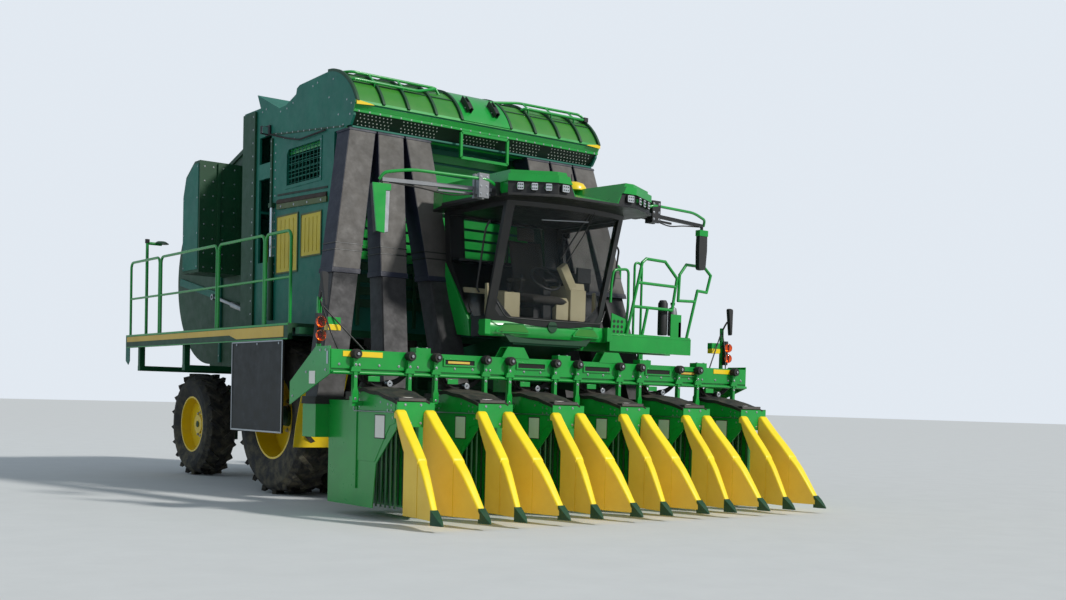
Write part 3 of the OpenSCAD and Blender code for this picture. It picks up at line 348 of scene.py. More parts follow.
Surface = Finish | Glazing
_materials: dict[str, bpy.types.Material] = {}


def material_of(finish: Surface) -> bpy.types.Material:
    """The finish's material, made on first use."""
    if finish.name not in _materials:
        _materials[finish.name] = finish.build()
    return _materials[finish.name]


# Shapes


@dataclass
class Solid:
    """Points in design millimetres and the faces that join them."""

    points: Array
    faces: list[Array] = field(default_factory=list)

    def moved(self, x: float = 0.0, y: float = 0.0, z: float = 0.0) -> Solid:
        """The same solid, shifted."""
        return Solid(self.points + (x, y, z), self.faces)

    def repeated(self, offsets: Points) -> Solid:
        """The solid once at every offset, as whole arrays.

        Args:
            offsets: Shifts in millimetres.

        Returns:
            One solid with all the copies.
        """
        shifts = np.asarray(offsets, float).reshape(-1, 1, 3)
        count = len(self.points)
        steps = np.arange(len(shifts)) * count
        faces = [(f[None] + steps[:, None, None]).reshape(-1, f.shape[1]) for f in self.faces]
        return Solid((self.points[None] + shifts).reshape(-1, 3), faces)

    def turned(self, axis: str, degrees: float, about: Point) -> Solid:
        """The solid turned about a line that runs along an axis.

        Args:
            axis: "X", "Y" or "Z".
            degrees: Right-hand angle.
            about: A point on the line.

        Returns:
            The turned solid.
        """
        turn = np.array(Matrix.Rotation(math.radians(degrees), 3, axis))
        centre = np.asarray(about, float)
        return Solid((self.points - centre) @ turn.T + centre, self.faces)


def turns(count: int) -> Array:
    """Angles evenly round a full turn, from 0."""
    return np.linspace(0, 2 * np.pi, count, endpoint=False)


def join(solids: Iterable[Solid]) -> Solid:
    """Several solids as one, their faces renumbered."""
    points, faces, base = [], [], 0
    for solid in solids:
        points.append(solid.points)
        faces += [f + base for f in solid.faces]
        base += len(solid.points)
    return Solid(np.vstack(points), faces)


def ring_faces(rings: int, sides: int, closed: bool = False, wrap: bool = True) -> Array:
    """Quads between consecutive rings of a grid numbered ring by ring.

    Args:
        rings: How many rings.
        sides: Points in a ring.
        closed: Whether the last ring joins the first.
        wrap: Whether each ring closes on itself.

    Returns:
        Quads as an (n, 4) array.
    """
    i, j = np.meshgrid(np.arange(rings if closed else rings - 1), np.arange(sides if wrap else sides - 1),
                       indexing="ij")
    a, b = i.ravel(), j.ravel()
    a2, b2 = (a + 1) % rings, (b + 1) % sides
    return np.stack([a * sides + b, a * sides + b2, a2 * sides + b2, a2 * sides + b], axis=1)


def box(low: Point, high: Point) -> Solid:
    """A block between two corners."""
    lo, hi = np.asarray(low, float), np.asarray(high, float)
    pick = np.array([[i & 1, i >> 1 & 1, i >> 2 & 1] for i in range(8)])
    faces = np.array([[0, 2, 3, 1], [4, 5, 7, 6], [0, 1, 5, 4], [2, 6, 7, 3], [0, 4, 6, 2], [1, 3, 7, 5]])
    return Solid(lo + pick * (hi - lo), [faces])


def flank(side: int, x0: float, x1: float, low: Point, high: Point) -> Solid:
    """A block between two distances from the middle plane, on one side of it.

    Args:
        side: The sign of its X.
        x0: Its distance from the middle plane.
        x1: The distance of its other face.
        low: Lowest y and z.
        high: Highest y and z.

    Returns:
        The block.
    """
    a, b = sorted((side * x0, side * x1))
    return box((a, *low), (b, *high))


def rectangle(low: Point, high: Point) -> Array:
    """The four corners of a rectangle between two opposite ones."""
    (a0, b0), (a1, b1) = low, high
    return np.array([[a0, b0], [a1, b0], [a1, b1], [a0, b1]], float)


def prism(outline: Points, axis: str, low: float, high: float) -> Solid:
    """A flat outline carried straight along an axis.

    Args:
        outline: Points in the two other axes, in X, Y, Z order.
        axis: "x", "y" or "z".
        low: Where it starts.
        high: Where it ends.

    Returns:
        A closed solid with flat ends.
    """
    flat = np.asarray(outline, float)
    n = len(flat)
    at = "xyz".index(axis)
    rest = [k for k in range(3) if k != at]
    points = np.zeros((2 * n, 3))
    points[:, rest] = np.vstack([flat, flat])
    points[:n, at], points[n:, at] = low, high
    caps = [np.arange(n)[::-1][None], np.arange(n, 2 * n)[None]]
    return Solid(points, caps + [ring_faces(2, n)])


def side_plate(side: int, outline: Points, x0: float, x1: float) -> Solid:
    """A (y, z) outline as a plate between two distances from the middle plane, on one side of it."""
    low, high = sorted((side * x0, side * x1))
    return prism(outline, "x", low, high)


def plate_ring(outer: Array, inner: Array, axis: str, low: float, high: float) -> Solid:
    """A flat plate with a hole: outer and inner outlines of equally many points."""
    n = len(outer)
    at = "xyz".index(axis)
    rest = [k for k in range(3) if k != at]
    points = np.zeros((4 * n, 3))
    points[:, rest] = np.vstack([outer, inner, inner, outer])
    points[:, at] = np.repeat([low, low, high, high], n)
    return Solid(points, [ring_faces(4, n, closed=True)])


def rounded(path: Points, corner: float, steps: int = 6) -> Array:
    """A path whose corners are quadratic curves (1-u)^2 a + 2u(1-u) b + u^2 c.

    Args:
        path: The corner points.
        corner: How far from each corner its curve starts.
        steps: Points on each curve.

    Returns:
        The finer path.
    """
    p = np.asarray(path, float)
    if corner <= 0 or len(p) < 3:
        return p
    before, after = p[:-2] - p[1:-1], p[2:] - p[1:-1]
    nearest = np.minimum(np.linalg.norm(before, axis=1), np.linalg.norm(after, axis=1))
    reach = np.minimum(corner, 0.49 * nearest)[:, None]
    start, end = p[1:-1] + unit(before) * reach, p[1:-1] + unit(after) * reach
    u = np.linspace(0, 1, steps)[None, :, None]
    curve = (1 - u) ** 2 * start[:, None] + 2 * u * (1 - u) * p[1:-1][:, None] + u**2 * end[:, None]
    return np.vstack([p[:1], curve.reshape(-1, p.shape[1]), p[-1:]])


def tube(path: Points, radius: float, corner: float = 60.0, sides: int = 12) -> Solid:
    """A circle carried along a path, square to it.

    Args:
        path: The corner points.
        radius: The tube's radius.
        corner: The size of its bends.
        sides: Points round the circle.

    Returns:
        A closed tube.
    """
    p = rounded(path, corner)
    along = unit(np.gradient(p, axis=0))
    flat = np.linalg.svd(p - p.mean(axis=0))[2][2]
    across = unit(np.cross(along, flat))
    over = np.cross(along, across)
    angle = turns(sides)[None, :, None]
    return loft(p[:, None] + radius * (np.cos(angle) * across[:, None] + np.sin(angle) * over[:, None]))


def lathe(profile: Points, centre: Point, axis: str, sides: int = 48) -> Solid:
    """A closed profile of (radius, height) turned about an axis through a centre.

    Args:
        profile: Points of the closed profile.
        centre: The point at radius 0 and height 0.
        axis: "x", "y" or "z".
        sides: Steps in the turn.

    Returns:
        The solid of revolution.
    """
    shape = np.asarray(profile, float)
    turn = turns(sides)[:, None]
    at = "xyz".index(axis)
    u, v = [(at + 1) % 3, (at + 2) % 3]
    points = np.zeros((sides, len(shape), 3))
    points[..., u] = np.cos(turn) * shape[:, 0]
    points[..., v] = np.sin(turn) * shape[:, 0]
    points[..., at] = shape[:, 1]
    faces = ring_faces(sides, len(shape), closed=True)
    return Solid(points.reshape(-1, 3) + np.asarray(centre, float), [faces])


def panel(grid: Array, thick: float) -> Solid:
    """A curved sheet with thickness: the grid and its copy pushed back along its normals.

    Args:
        grid: Points as a (rows, columns, 3) array.
        thick: Thickness, towards the side away from rows x columns.

    Returns:
        A closed shell.
    """
    rows, cols = grid.shape[:2]
    normal = unit(np.cross(np.gradient(grid, axis=0), np.gradient(grid, axis=1)))
    n = rows * cols
    points = np.vstack([grid.reshape(-1, 3), (grid - normal * thick).reshape(-1, 3)])
    sheet = ring_faces(rows, cols, wrap=False)
    index = np.arange(n).reshape(rows, cols)
    rim = np.concatenate([index[0, :-1], index[:-1, -1], index[-1, :0:-1], index[:0:-1, 0]])
    after = np.roll(rim, -1)
    edge = np.stack([rim, rim + n, after + n, after], axis=1)
    return Solid(points, [sheet, sheet[:, ::-1] + n, edge])


def loft(rings: Array | Sequence[Points]) -> Solid:
    """Closed rings of equally many points joined one after another, with flat ends."""
    rings = np.asarray(rings, float)
    count, sides = rings.shape[:2]
    last = (count - 1) * sides
    caps = [np.arange(sides)[::-1][None], np.arange(last, last + sides)[None]]
    return Solid(rings.reshape(-1, 3), [ring_faces(count, sides)] + caps)


def beam(a: Point, b: Point, width: float, height: float, up: Point = UP) -> Solid:
    """A rectangular bar between two points.

    Args:
        a: Middle of its first end.
        b: Middle of its last end.
        width: Across, square to up.
        height: Towards up.
        up: The direction that height leans to.

    Returns:
        The bar.
    """
    start, end = np.asarray(a, float), np.asarray(b, float)
    along = unit(end - start)
    side = unit(np.cross(along, np.asarray(up, float)))
    over = np.cross(side, along)
    k = np.array([[-1, -1], [1, -1], [1, 1], [-1, 1]]) / 2
    section = k[:, :1] * width * side + k[:, 1:] * height * over
    return loft(np.stack([start + section, end + section]))


def bolts(centres: Points, towards: Point, r: float = 11, h: float = 8) -> Solid:
    """Hexagon bolt heads on washers, all facing the same way.

    Args:
        centres: Where each head stands.
        towards: The way the heads face.
        r: Radius across the corners.
        h: Height of a head.

    Returns:
        All the heads.
    """
    out = unit(np.asarray(towards, float))
    side = unit(np.cross(out, (0.31, 0.23, 0.92)))
    over = np.cross(out, side)
    angle = turns(6)[:, None]
    circle = np.cos(angle) * side + np.sin(angle) * over
    washer, head, thin = circle * r * 1.5, circle * r, out * 2
    return loft(np.stack([washer, washer + thin, head + thin, head + out * h])).repeated(centres)


def rows_of(start: Point, end: Point, count: int) -> Array:
    """Evenly spaced points from start to end."""
    return np.linspace(start, end, count)


# Pieces


class Piece:
    """One object of the scene, gathered from solids with their finishes."""

    def __init__(self, name: str, body: str, slot: str) -> None:
        """Starts an empty piece that will ride on a body; its slot name is kept with it."""
        self.name, self.body, self.slot = name, body, slot
        self.solids: list[Solid] = []
        self.finishes: list[Surface] = []
        self.picks: list[int] = []

    def put(self, finish: Surface, *solids: Solid) -> None:
        """Adds solids in a finish."""
        if finish not in self.finishes:
            self.finishes.append(finish)
        for solid in solids:
            self.solids.append(solid)
            self.picks.append(self.finishes.index(finish))

    def bolt(self, centres: Points, towards: Point, r: float = 11, h: float = 8) -> None:
        """Adds bright bolt heads."""
        self.put(STEEL, bolts(centres, towards, r, h))

    def make(self, bevel: float = 3.0, smooth: float = 35.0,
             replaces: Sequence[str] = ()) -> bpy.types.Object:
        """Makes the mesh object, bevels its sharp edges and ties it to its body.

        Args:
            bevel: Width of the rounded edges in millimetres, or 0.
            smooth: Edges flatter than this many degrees are shaded smooth.
            replaces: CAD nodes that this piece stands for.

        Returns:
            The object.
        """
        whole = join(self.solids)
        faces = [row for block in whole.faces for row in block.tolist()]
        per_solid = [sum(len(f) for f in s.faces) for s in self.solids]
        mesh = bpy.data.meshes.new(self.name)
        mesh.from_pydata(metres(whole.points).tolist(), [], faces)
        for finish in self.finishes:
            mesh.materials.append(material_of(finish))
        mesh.polygons.foreach_set("material_index", np.repeat(self.picks, per_solid).astype(np.int32))
        self._face_outwards(mesh)
        mesh.polygons.foreach_set("use_smooth", np.ones(len(mesh.polygons), bool))
        mesh.set_sharp_from_angle(angle=math.radians(smooth))
        made = linked(self.name, mesh)
        if bevel:
            edge = made.modifiers.new("edges", "BEVEL")
            edge.width, edge.segments, edge.limit_method = bevel / 1000, 2, "ANGLE"
            edge.angle_limit, edge.use_clamp_overlap, edge.harden_normals = math.radians(40), True, False
        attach(made, self.body)
        if replaces:
            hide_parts(*replaces)
        log.info("%s: %d faces on %s", self.name, len(faces), self.body)
        return made

    @staticmethod
    def _face_outwards(mesh: bpy.types.Mesh) -> None:
        """Turns every closed shell's faces outwards."""
        work = bmesh.new()
        work.from_mesh(mesh)
        bmesh.ops.recalc_face_normals(work, faces=work.faces)
        work.to_mesh(mesh)
        work.free()


# The frame's own objects by node name, filled when the frame is loaded.
CAD: dict[str, bpy.types.Object] = {}


def linked(name: str, data: bpy.types.ID) -> bpy.types.Object:
    """A new object with its data, put into the scene."""
    made = bpy.data.objects.new(name, data)
    bpy.context.scene.collection.objects.link(made)
    return made


def dress(finish: Surface, *names: str) -> None:
    """Gives CAD nodes a finish."""
    for name in names:
        for socket in CAD[name].material_slots:
            socket.material = material_of(finish)


def pad(centre: Point, across: Point, along: Point, thick: float, channel: float) -> Solid:
    """A sewn foam pad: crowned on both faces, sides drawn in between the corners, seam at the edge.

    Args:
        centre: Middle of the pad.
        across: Half its width as a vector.
        along: Half its length as a vector.
        thick: Half its thickness in the middle.
        channel: Depth of the two sewn channels along it, as a share of the thickness.

    Returns:
        A closed solid.
    """
    span = np.linspace(-1, 1, 25)
    u, v = np.meshgrid(np.sin(span * np.pi / 2), np.sin(span * np.pi / 2), indexing="ij")
    full = ((1 - u**6) * (1 - v**6)) ** 0.5 * (1 - 0.18 * (u**2 + v**2) / 2)
    sewn = 1 - channel * sum(np.exp(-(((u - s * 0.5) / 0.05) ** 2)) for s in SIDES)
    a, b = np.array(across, float), np.array(along, float)
    narrowed, shortened = u * (1 - 0.05 * (1 - v**2)), v * (1 - 0.04 * (1 - u**2))
    flat = np.array(centre, float) + narrowed[..., None] * a + shortened[..., None] * b
    rise = (thick * full * sewn)[..., None] * unit(np.cross(a, b))
    count = len(span)
    index = np.arange(count * count).reshape(count, count)
    inner = np.full((count, count), -1)
    inner[1:-1, 1:-1] = count * count + np.arange((count - 2) ** 2).reshape(count - 2, count - 2)
    under = np.where(inner < 0, index, inner)
    points = np.vstack([(flat + rise).reshape(-1, 3), (flat - rise)[1:-1, 1:-1].reshape(-1, 3)])
    top = np.stack([index[:-1, :-1], index[1:, :-1], index[1:, 1:], index[:-1, 1:]], axis=-1).reshape(-1, 4)
    low = np.stack([under[:-1, :-1], under[:-1, 1:], under[1:, 1:], under[1:, :-1]], axis=-1).reshape(-1, 4)
    return Solid(points, [np.vstack([top, low])])


@dataclass
class Header:
    """Six row units hung from the toolbar, with their guides, covers and marker posts.

    Beams run along X. Fronts face -Y, so that what stands on a front has a smaller y.
    """

    front_y: float = 668.0
    back_y: float = 800.0
    half: float = 2980.0
    end_x: float = 3003.0
    hang_x: float = 320.0
    strap_y: float = 639.0
    pin_z: float = 1668.0
    plate_x: Pair = (-2630.0, 2630.0)
    slots_x: tuple[float, ...] = (-1447.0, -482.0, 482.0, 1447.0, 1930.0)
    marked_slots_x: Pair = (-1447.0, 1930.0)
    humps_x: Pair = (-700.0, 700.0)
    blocks_x: tuple[float, ...] = (-1900.0, 0.0, 1250.0, 2200.0)
    panel_x: float = 211.0
    post_x: float = 2930.0
    post_y: float = 1060.0

    def build(self) -> None:
        """Makes every piece of the header."""
        self.toolbar()
        self.hangers()
        self.units()
        self.covers()
        self.guides()
        self.drives()
        self.posts()

    def toolbar(self) -> None:
        """Slots, strips, raised brackets and end reflectors on the toolbar beam."""
        piece = Piece("toolbar_trim", "header", "green_paint")
        front, back = self.front_y, self.back_y
        for x in self.plate_x:
            piece.put(RIM_YELLOW, box((x - 230, front - 3, 1640), (x + 230, front, 1695)))
        for x in self.slots_x:
            piece.put(VOID, box((x - 190, front - 2, 1600), (x + 190, front, 1655)))
            rim = rectangle((x - 210, 1585), (x + 210, 1670))
            hole = rectangle((x - 188, 1602), (x + 188, 1653))
            piece.put(GREEN, plate_ring(rim, hole, "y", front - 12, front + 1))
        for x in self.marked_slots_x:
            piece.put(STRIPE, box((x - 150, front - 6, 1615), (x + 130, front - 1, 1640)))
        hump = np.array([[-190, 1705], [-110, 1830], [110, 1830], [190, 1705]])
        for x in self.humps_x:
            flat = hump + (x, 0)
            piece.put(GREEN, prism(flat, "y", front - 4, front + 12), prism(flat, "y", back, back + 12))
            piece.put(GREEN, box((x - 110, front + 12, 1818), (x + 110, back, 1830)))
        for x in self.blocks_x:
            top = 1765
            piece.put(GREEN, box((x - 90, front + 10, 1709), (x + 90, back, top)))
            piece.bolt([(x - 60, front + 40, top), (x + 60, front + 40, top)], UP, 12)
        piece.put(GREEN, tube([(-self.half, front - 18, 1478), (self.half, front - 18, 1478)], 16, 0))
        piece.bolt(rows_of((-2900, front, 1560), (2900, front, 1560), 26), FRONT, 10)
        for side in SIDES:
            self._end(piece, side)
        piece.make(2.5)
        dress(GREEN, "toolbar")

    def _end(self, piece: Piece, side: int) -> None:
        """Bolts, bright strip and blank plate on one end plate of the toolbar."""
        x = side * self.end_x
        places = ((760, 1700), (880, 1700), (760, 1500), (1180, 1480), (1480, 1230))
        piece.bolt([(x, y, z) for y, z in places], (side, 0, 0), 11)
        piece.put(STEEL, flank(side, self.end_x, self.end_x + 3, (712, 1560), (742, 1690)))
        piece.put(PLATE, flank(side, self.end_x, self.end_x + 3, (980, 1360), (1110, 1490)))

    def hangers(self) -> None:
        """Tapered straps with black bushings at both ends of each."""
        piece = Piece("hanger_straps", "header", "green_paint")
        pins = Piece("hanger_bushings", "header", "black_rubber")
        y, z = self.strap_y, self.pin_z
        strap = np.array([[-26, 1690], [26, 1690], [26, 1560], [20, 1500], [20, 1330], [34, 1290], [34, 1180],
                          [-34, 1180], [-34, 1290], [-20, 1330], [-20, 1500], [-26, 1560]], float)
        gusset = np.array([[-60, 1490], [60, 1490], [44, 1540], [-44, 1540]])
        bushing = [(12, -58), (46, -58), (50, -40), (50, 22), (12, 22)]
        pin = [(0.1, -72), (16, -72), (16, -58), (0.1, -58)]
        for row in range(ROWS):
            for side in SIDES:
                x = row_x(row) + side * self.hang_x
                piece.put(GREEN, prism(strap + (x, 0), "y", y - 16, y))
                heads = [(x, y - 16, height) for height in (1560, 1440, 1215)]
                piece.bolt(heads, FRONT, 11)
                pins.put(RUBBER, lathe(bushing, (x, y - 2, z), "y", 24))
                pins.put(RUBBER, box((x - 42, y - 40, z - 28), (x + 42, y + 20, z - 13)))
                pins.put(STEEL, lathe(pin, (x, y - 2, z), "y", 12))
                piece.put(GREEN, prism(gusset + (x, 0), "y", y - 22, y + 2))
        piece.make(2.5)
        pins.make(2.0)
        dress(GREEN, "hangers")

    def units(self) -> None:
        """Front plates' bolts, panels' rivets and seams, blank plates and throat bars."""
        piece = Piece("unit_trim", "header", "green_paint")
        heads = Piece("unit_fasteners", "header", "rod_steel")
        throat = Piece("throat_bars", "header", "dark_green_paint")
        for row in range(ROWS):
            centre = row_x(row)
            piece.put(GREEN, box((centre - 212, -14, 950), (centre + 222, -7, 1202)))
            piece.put(GREEN, box((centre - 212, -14, 1194), (centre + 222, 60, 1202)))
            corners = ((-120, 1170), (60, 1170), (-60, 990), (60, 990))
            heads.bolt([(centre + x, -14, z) for x, z in corners], FRONT, 10)
            self._side_panel(piece, heads, centre - self.panel_x)
            self._throat(throat, centre)
        piece.make(2.0)
        heads.make(0)
        throat.make(0)
        dress(GREEN, "row_cabinets")

    @staticmethod
    def _side_panel(piece: Piece, heads: Piece, x: float) -> None:
        """Raised sheets, flange, line, rivets and blank plate on a unit's panel that faces -X.

        Args:
            piece: The piece that gathers the sheets.
            heads: The piece that gathers the fasteners.
            x: Where the panel's face is.
        """
        upper = [(20, 1185), (760, 1318), (760, 1100), (20, 1100)]
        lower = [(20, 1088), (760, 1088), (760, 590), (400, 590), (120, 960), (20, 985)]
        flange = [(760, 1335), (780, 1335), (780, 300), (760, 300)]
        for outline, proud in ((upper, 4), (lower, 4), (flange, 16)):
            piece.put(GREEN, prism(outline, "x", x - proud, x + 1))
        heads.put(STEEL, tube([(x - 12, 30, 1094), (x - 12, 830, 1094), (x - 12, 830, 1180)], 6, 30, 8))
        rivets = ((720, 1280), (720, 1210), (720, 1140), (160, 1170), (90, 1160), (160, 1112), (90, 1112),
                  (300, 1190), (60, 1040))
        heads.bolt([(x - 4, y, z) for y, z in rivets], (-1, 0, 0), 9, 5)
        piece.put(PLATE, box((x - 7, 210, 830), (x - 3, 400, 1060)))
        rim, hole = rectangle((205, 825), (405, 1065)), rectangle((215, 835), (395, 1055))
        piece.put(BLACK, plate_ring(rim, hole, "x", x - 8, x - 2))

    @staticmethod
    def _throat(throat: Piece, centre: float) -> None:
        """Two rows of upright bars, the dark inside and a column of doffer wheels in one unit."""
        throat.put(VOID, box((centre - 195, 940, 150), (centre - 90, 960, 1130)))
        bar = tube([(0, 0, 140), (0, 0, 1130)], 11, 0, 8)
        bar_count, bar_pitch = 9, 90
        for x, first in ((-175, 60), (92, 170)):
            spots = [(centre + x, first + k * bar_pitch, 0) for k in range(bar_count)]
            throat.put(DEEP_GREEN, bar.repeated(spots))
        wheel = lathe([(30, -12), (86, -12), (92, 0), (86, 12), (30, 12)], (centre + 190, 300, 0), "z", 20)
        throat.put(CAST, wheel.repeated([(0, 0, z) for z in np.linspace(170, 940, 12)]))

    def covers(self) -> None:
        """Rubberised covers: the surface rises from the front lip to the rear with sagging folds."""
        piece = Piece("rubber_covers", "header", "black_rubber")
        # u runs across a cover from -X to +X, v from its front to its rear.
        u, v = np.meshgrid(np.linspace(0, 1, 15), np.linspace(0, 1, 22), indexing="ij")
        left, right = -214 - 12 * v, 150 + 215 * v**0.8
        y = -6 + 770 * v
        rise = 1212 + 128 * np.sin(v * 1.45)
        sides = 5 * np.sin(u * 9 + v * 5) - 26 * (u**6) - 14 * ((1 - u) ** 8)
        skirt, thick = 30, 39
        for row in range(ROWS):
            centre = row_x(row)
            folds = 9 * np.sin(v * 17 + u * 3 + row) * v * (1 - 0.4 * u)
            x = centre + left + (right - left) * u
            surface = np.stack([x, y, rise + folds + sides - skirt], axis=-1)
            piece.put(RUBBER, panel(surface, -thick))
            piece.put(PLASTIC, box((centre - 205, -22, 1202), (centre + 118, 58, 1238)))
            piece.put(DUCT, box((centre - 200, -25, 1206), (centre + 112, -20, 1232)))
            piece.put(PLATE, box((centre - 110, 92, 1236), (centre + 40, 118, 1244)))
        piece.make(3.0, 50, ["row_covers"])

    def guides(self) -> None:
        """Moulded stalk guides: sloping bands over upright walls, in two overlapping lengths each.

        A section at a distance y before the plate is a wall with a flat top whose height follows
        the crest and whose edges are rounded; its inner and outer X widen apart towards the shoe.
        The guide right of the plants is open under its band near the plate.
        """
        piece = Piece("moulded_guides", "header", "yellow_plastic")
        shoes = Piece("guide_points", "header", "dark_green_paint")
        edges = {Side.LEFT: ((95, 150, 235), (215, 285, 320)),
                 Side.RIGHT: ((118, 140, 225), (238, 250, 300))}
        lengths = ((8, 470, 0.0), (420, 819, 5.0))
        # Distance before the plate, half width and height of the shoe's sections, the last at its point.
        sections = ((790, 44, 205), (850, 38, 160), (905, 26, 110), (948, 7, 72))
        skirt = 62
        for which, (inner, outer) in edges.items():
            side = which.value
            middle = side * (inner[2] + outer[2]) / 2
            rings = [[(middle - half, -y, skirt), (middle + half, -y, skirt), (middle + half, -y, z),
                      (middle - half, -y, z)] for y, half, z in sections]
            shoe = loft(rings)
            for row in range(ROWS):
                for low, high, inset in lengths:
                    fin, wall = self._fin(side, inner, outer, (low, high), inset)
                    piece.put(GUIDE, fin.moved(x=row_x(row)))
                    # Painted shade: the right wall's skin takes the tan copy of the yellow moulding.
                    piece.put(GUIDE_SHADE, wall.moved(x=row_x(row)))
                shoes.put(DEEP_GREEN, shoe.moved(x=row_x(row)))
        piece.make(0, 50, ["stalk_guides"])
        shoes.make(3.0, 35, ["guide_shoes"])

    @staticmethod
    def _fin(side: int, inner: Point, outer: Point, run: Pair,
             inset: float) -> tuple[Solid, Solid]:
        """One moulded length of a guide and the shaded skin on its right wall.

        Args:
            side: -1 for the guide right of the plants, 1 for the other.
            inner: Distance of the inner edge from the row's middle at the plate, halfway and shoe.
            outer: The same for the outer edge.
            run: Where the length starts and ends, in millimetres before the plate.
            inset: How much smaller this length is than its neighbour.

        Returns:
            The closed fin and a thin skin for its right wall.
        """
        crest = rounded([(8, 1112), (34, 1125), (85, 1065), (195, 943), (360, 774), (570, 540), (700, 350),
                         (820, 165)], 60)
        open_to, floor = 210, 100.0
        step = [k for k in (open_to - 0.1, open_to + 0.1) if run[0] < k < run[1]]
        s = np.unique(np.concatenate([np.linspace(*run, 26), step]))
        stations = (0.0, 450.0, 820.0)
        top = np.interp(s, crest[:, 0], crest[:, 1]) - inset
        under = np.interp(s, (0, 44, 86, 186, open_to), (1040, 1033, 922, 744, 710))
        low = np.where((side < 0) & (s < open_to), np.minimum(under, top - 40), floor)
        a = np.interp(s, stations, inner) + inset
        b = np.interp(s, stations, outer) - inset
        r = np.minimum(26.0, (b - a) * 0.3)
        theta = np.linspace(0, np.pi / 2, 6)
        near, far = r[:, None] * (1 - np.cos(theta)), r[:, None] * (1 - np.sin(theta))
        first = np.stack([a[:, None] + near, top[:, None] - far], axis=-1)
        second = np.stack([b[:, None] - far, top[:, None] - near], axis=-1)
        feet = [np.stack([edge, low], axis=-1)[:, None] for edge in (a, b)]
        ring = np.concatenate([feet[0], first, second, feet[1]], axis=1)
        y = np.broadcast_to(-s[:, None], ring.shape[:2])
        fin = loft(np.stack([side * ring[..., 0], y, ring[..., 1]], axis=-1))
        wall_x = (a if side > 0 else -b) - 1.5
        skin = np.stack([np.stack([wall_x, -s, z], axis=-1) for z in (low + 4, top - r - 2)])
        return fin, panel(skin, 1.0)

    def drives(self) -> None:
        """Gear cases, clamped hydraulic lines and fittings behind the units, between the straps."""
        piece = Piece("unit_drives", "header", "engine_grey")
        hoses = Piece("header_lines", "header", "black_rubber")
        case = [(20, -90), (70, -90), (82, -60), (82, 40), (60, 90), (20, 90)]
        roller = [(8, -40), (34, -40), (38, 0), (34, 40), (8, 40)]
        for row in range(ROWS):
            centre = row_x(row)
            piece.put(CAST, lathe(case, (centre - 60, 860, 1300), "z", 24))
            piece.put(CAST, box((centre - 220, 800, 1210), (centre + 160, 1010, 1290)))
            piece.put(STEEL, lathe(roller, (centre + 120, 730, 1380), "y", 18))
            piece.put(GREEN, box((centre - 165, 640, 1395), (centre - 30, 652, 1450)))
            for k in range(3):
                route = [(-260 + 40 * k, 720, 1500), (-190 + 50 * k, 750, 1400 - 12 * k),
                         (40 * k, 780, 1372 - 20 * k), (250, 760, 1420 - 15 * k), (330 + 20 * k, 730, 1505)]
                hoses.put(RUBBER, tube([(centre + x, y, z) for x, y, z in route], 15, 90, 8))
        trunk = [(-2950, 930, 1512), (-1400, 934, 1503), (0, 930, 1512), (1400, 934, 1503), (2950, 930, 1512)]
        hoses.put(RUBBER, tube(trunk, 20, 200, 10))
        piece.make(3.0)
        hoses.make(0)

    def posts(self) -> None:
        """Folding posts at the header's ends: mirror, amber lamps, small lamp box and stays."""
        piece = Piece("marker_posts", "header", "black_paint")
        for side in SIDES:
            self._post(piece, side)
        piece.make(3.0, 35, ["light_posts"])

    def _post(self, piece: Piece, side: int) -> None:
        """One post with what it carries.

        Args:
            piece: The piece that gathers both posts.
            side: The sign of its X.
        """
        x, y = side * self.post_x, self.post_y
        mirror_z, lamp_x, foot_z = 2330, x - side * 150, 1712
        outline = rounded([(-34, -170), (40, -175), (46, 165), (-30, 175), (-34, -170)], 26)[1:-1]
        centre = (x + side * 16, mirror_z)
        piece.put(GREEN, beam((x, y, 1690), (x, y, 2250), 46, 30, REAR))
        arm = [(x, y - 20, 2230), (x + side * 10, y - 50, 2290), (x + side * 14, y - 80, mirror_z)]
        piece.put(BLACK, tube(arm, 12, 30, 8))
        piece.put(PLASTIC, prism(outline + centre, "y", 925, 975))
        piece.put(CHROME, prism(outline * (0.86, 0.9) + centre, "y", 974, 978))
        piece.put(PLASTIC, flank(side, 2932, 2984, (990, 1770), (1040, 2080)))
        profile = [(0.1, -40), (50, -40), (58, -24), (54, -6), (34, 8), (0.1, 12)]
        lens = lathe(profile, (side * 2958, 978, 0), "y", 24)
        piece.put(AMBER, lens.repeated([(0, 0, z) for z in (1855, 1992)]))
        piece.put(GREEN, box((lamp_x - 75, 1010, 1975), (lamp_x + 75, 1090, 2050)))
        piece.put(RIM_YELLOW, box((lamp_x - 74, 1004, 1915), (lamp_x + 74, 1088, 1975)))
        piece.put(BLACK, beam((lamp_x, 1050, 2010), (x, 1055, 2010), 26, 16))
        stays = ([(x, y, 2240), (x - side * 60, 920, 1900), (x - side * 120, 860, foot_z)],
                 [(x, y + 6, 2200), (x - side * 420, 850, foot_z)])
        for stay in stays:
            piece.put(BLACK, tube(stay, 9, 0, 8))
        piece.put(GREEN, box((x - 60, 890, 1640), (x + 44, 1100, 1690)))


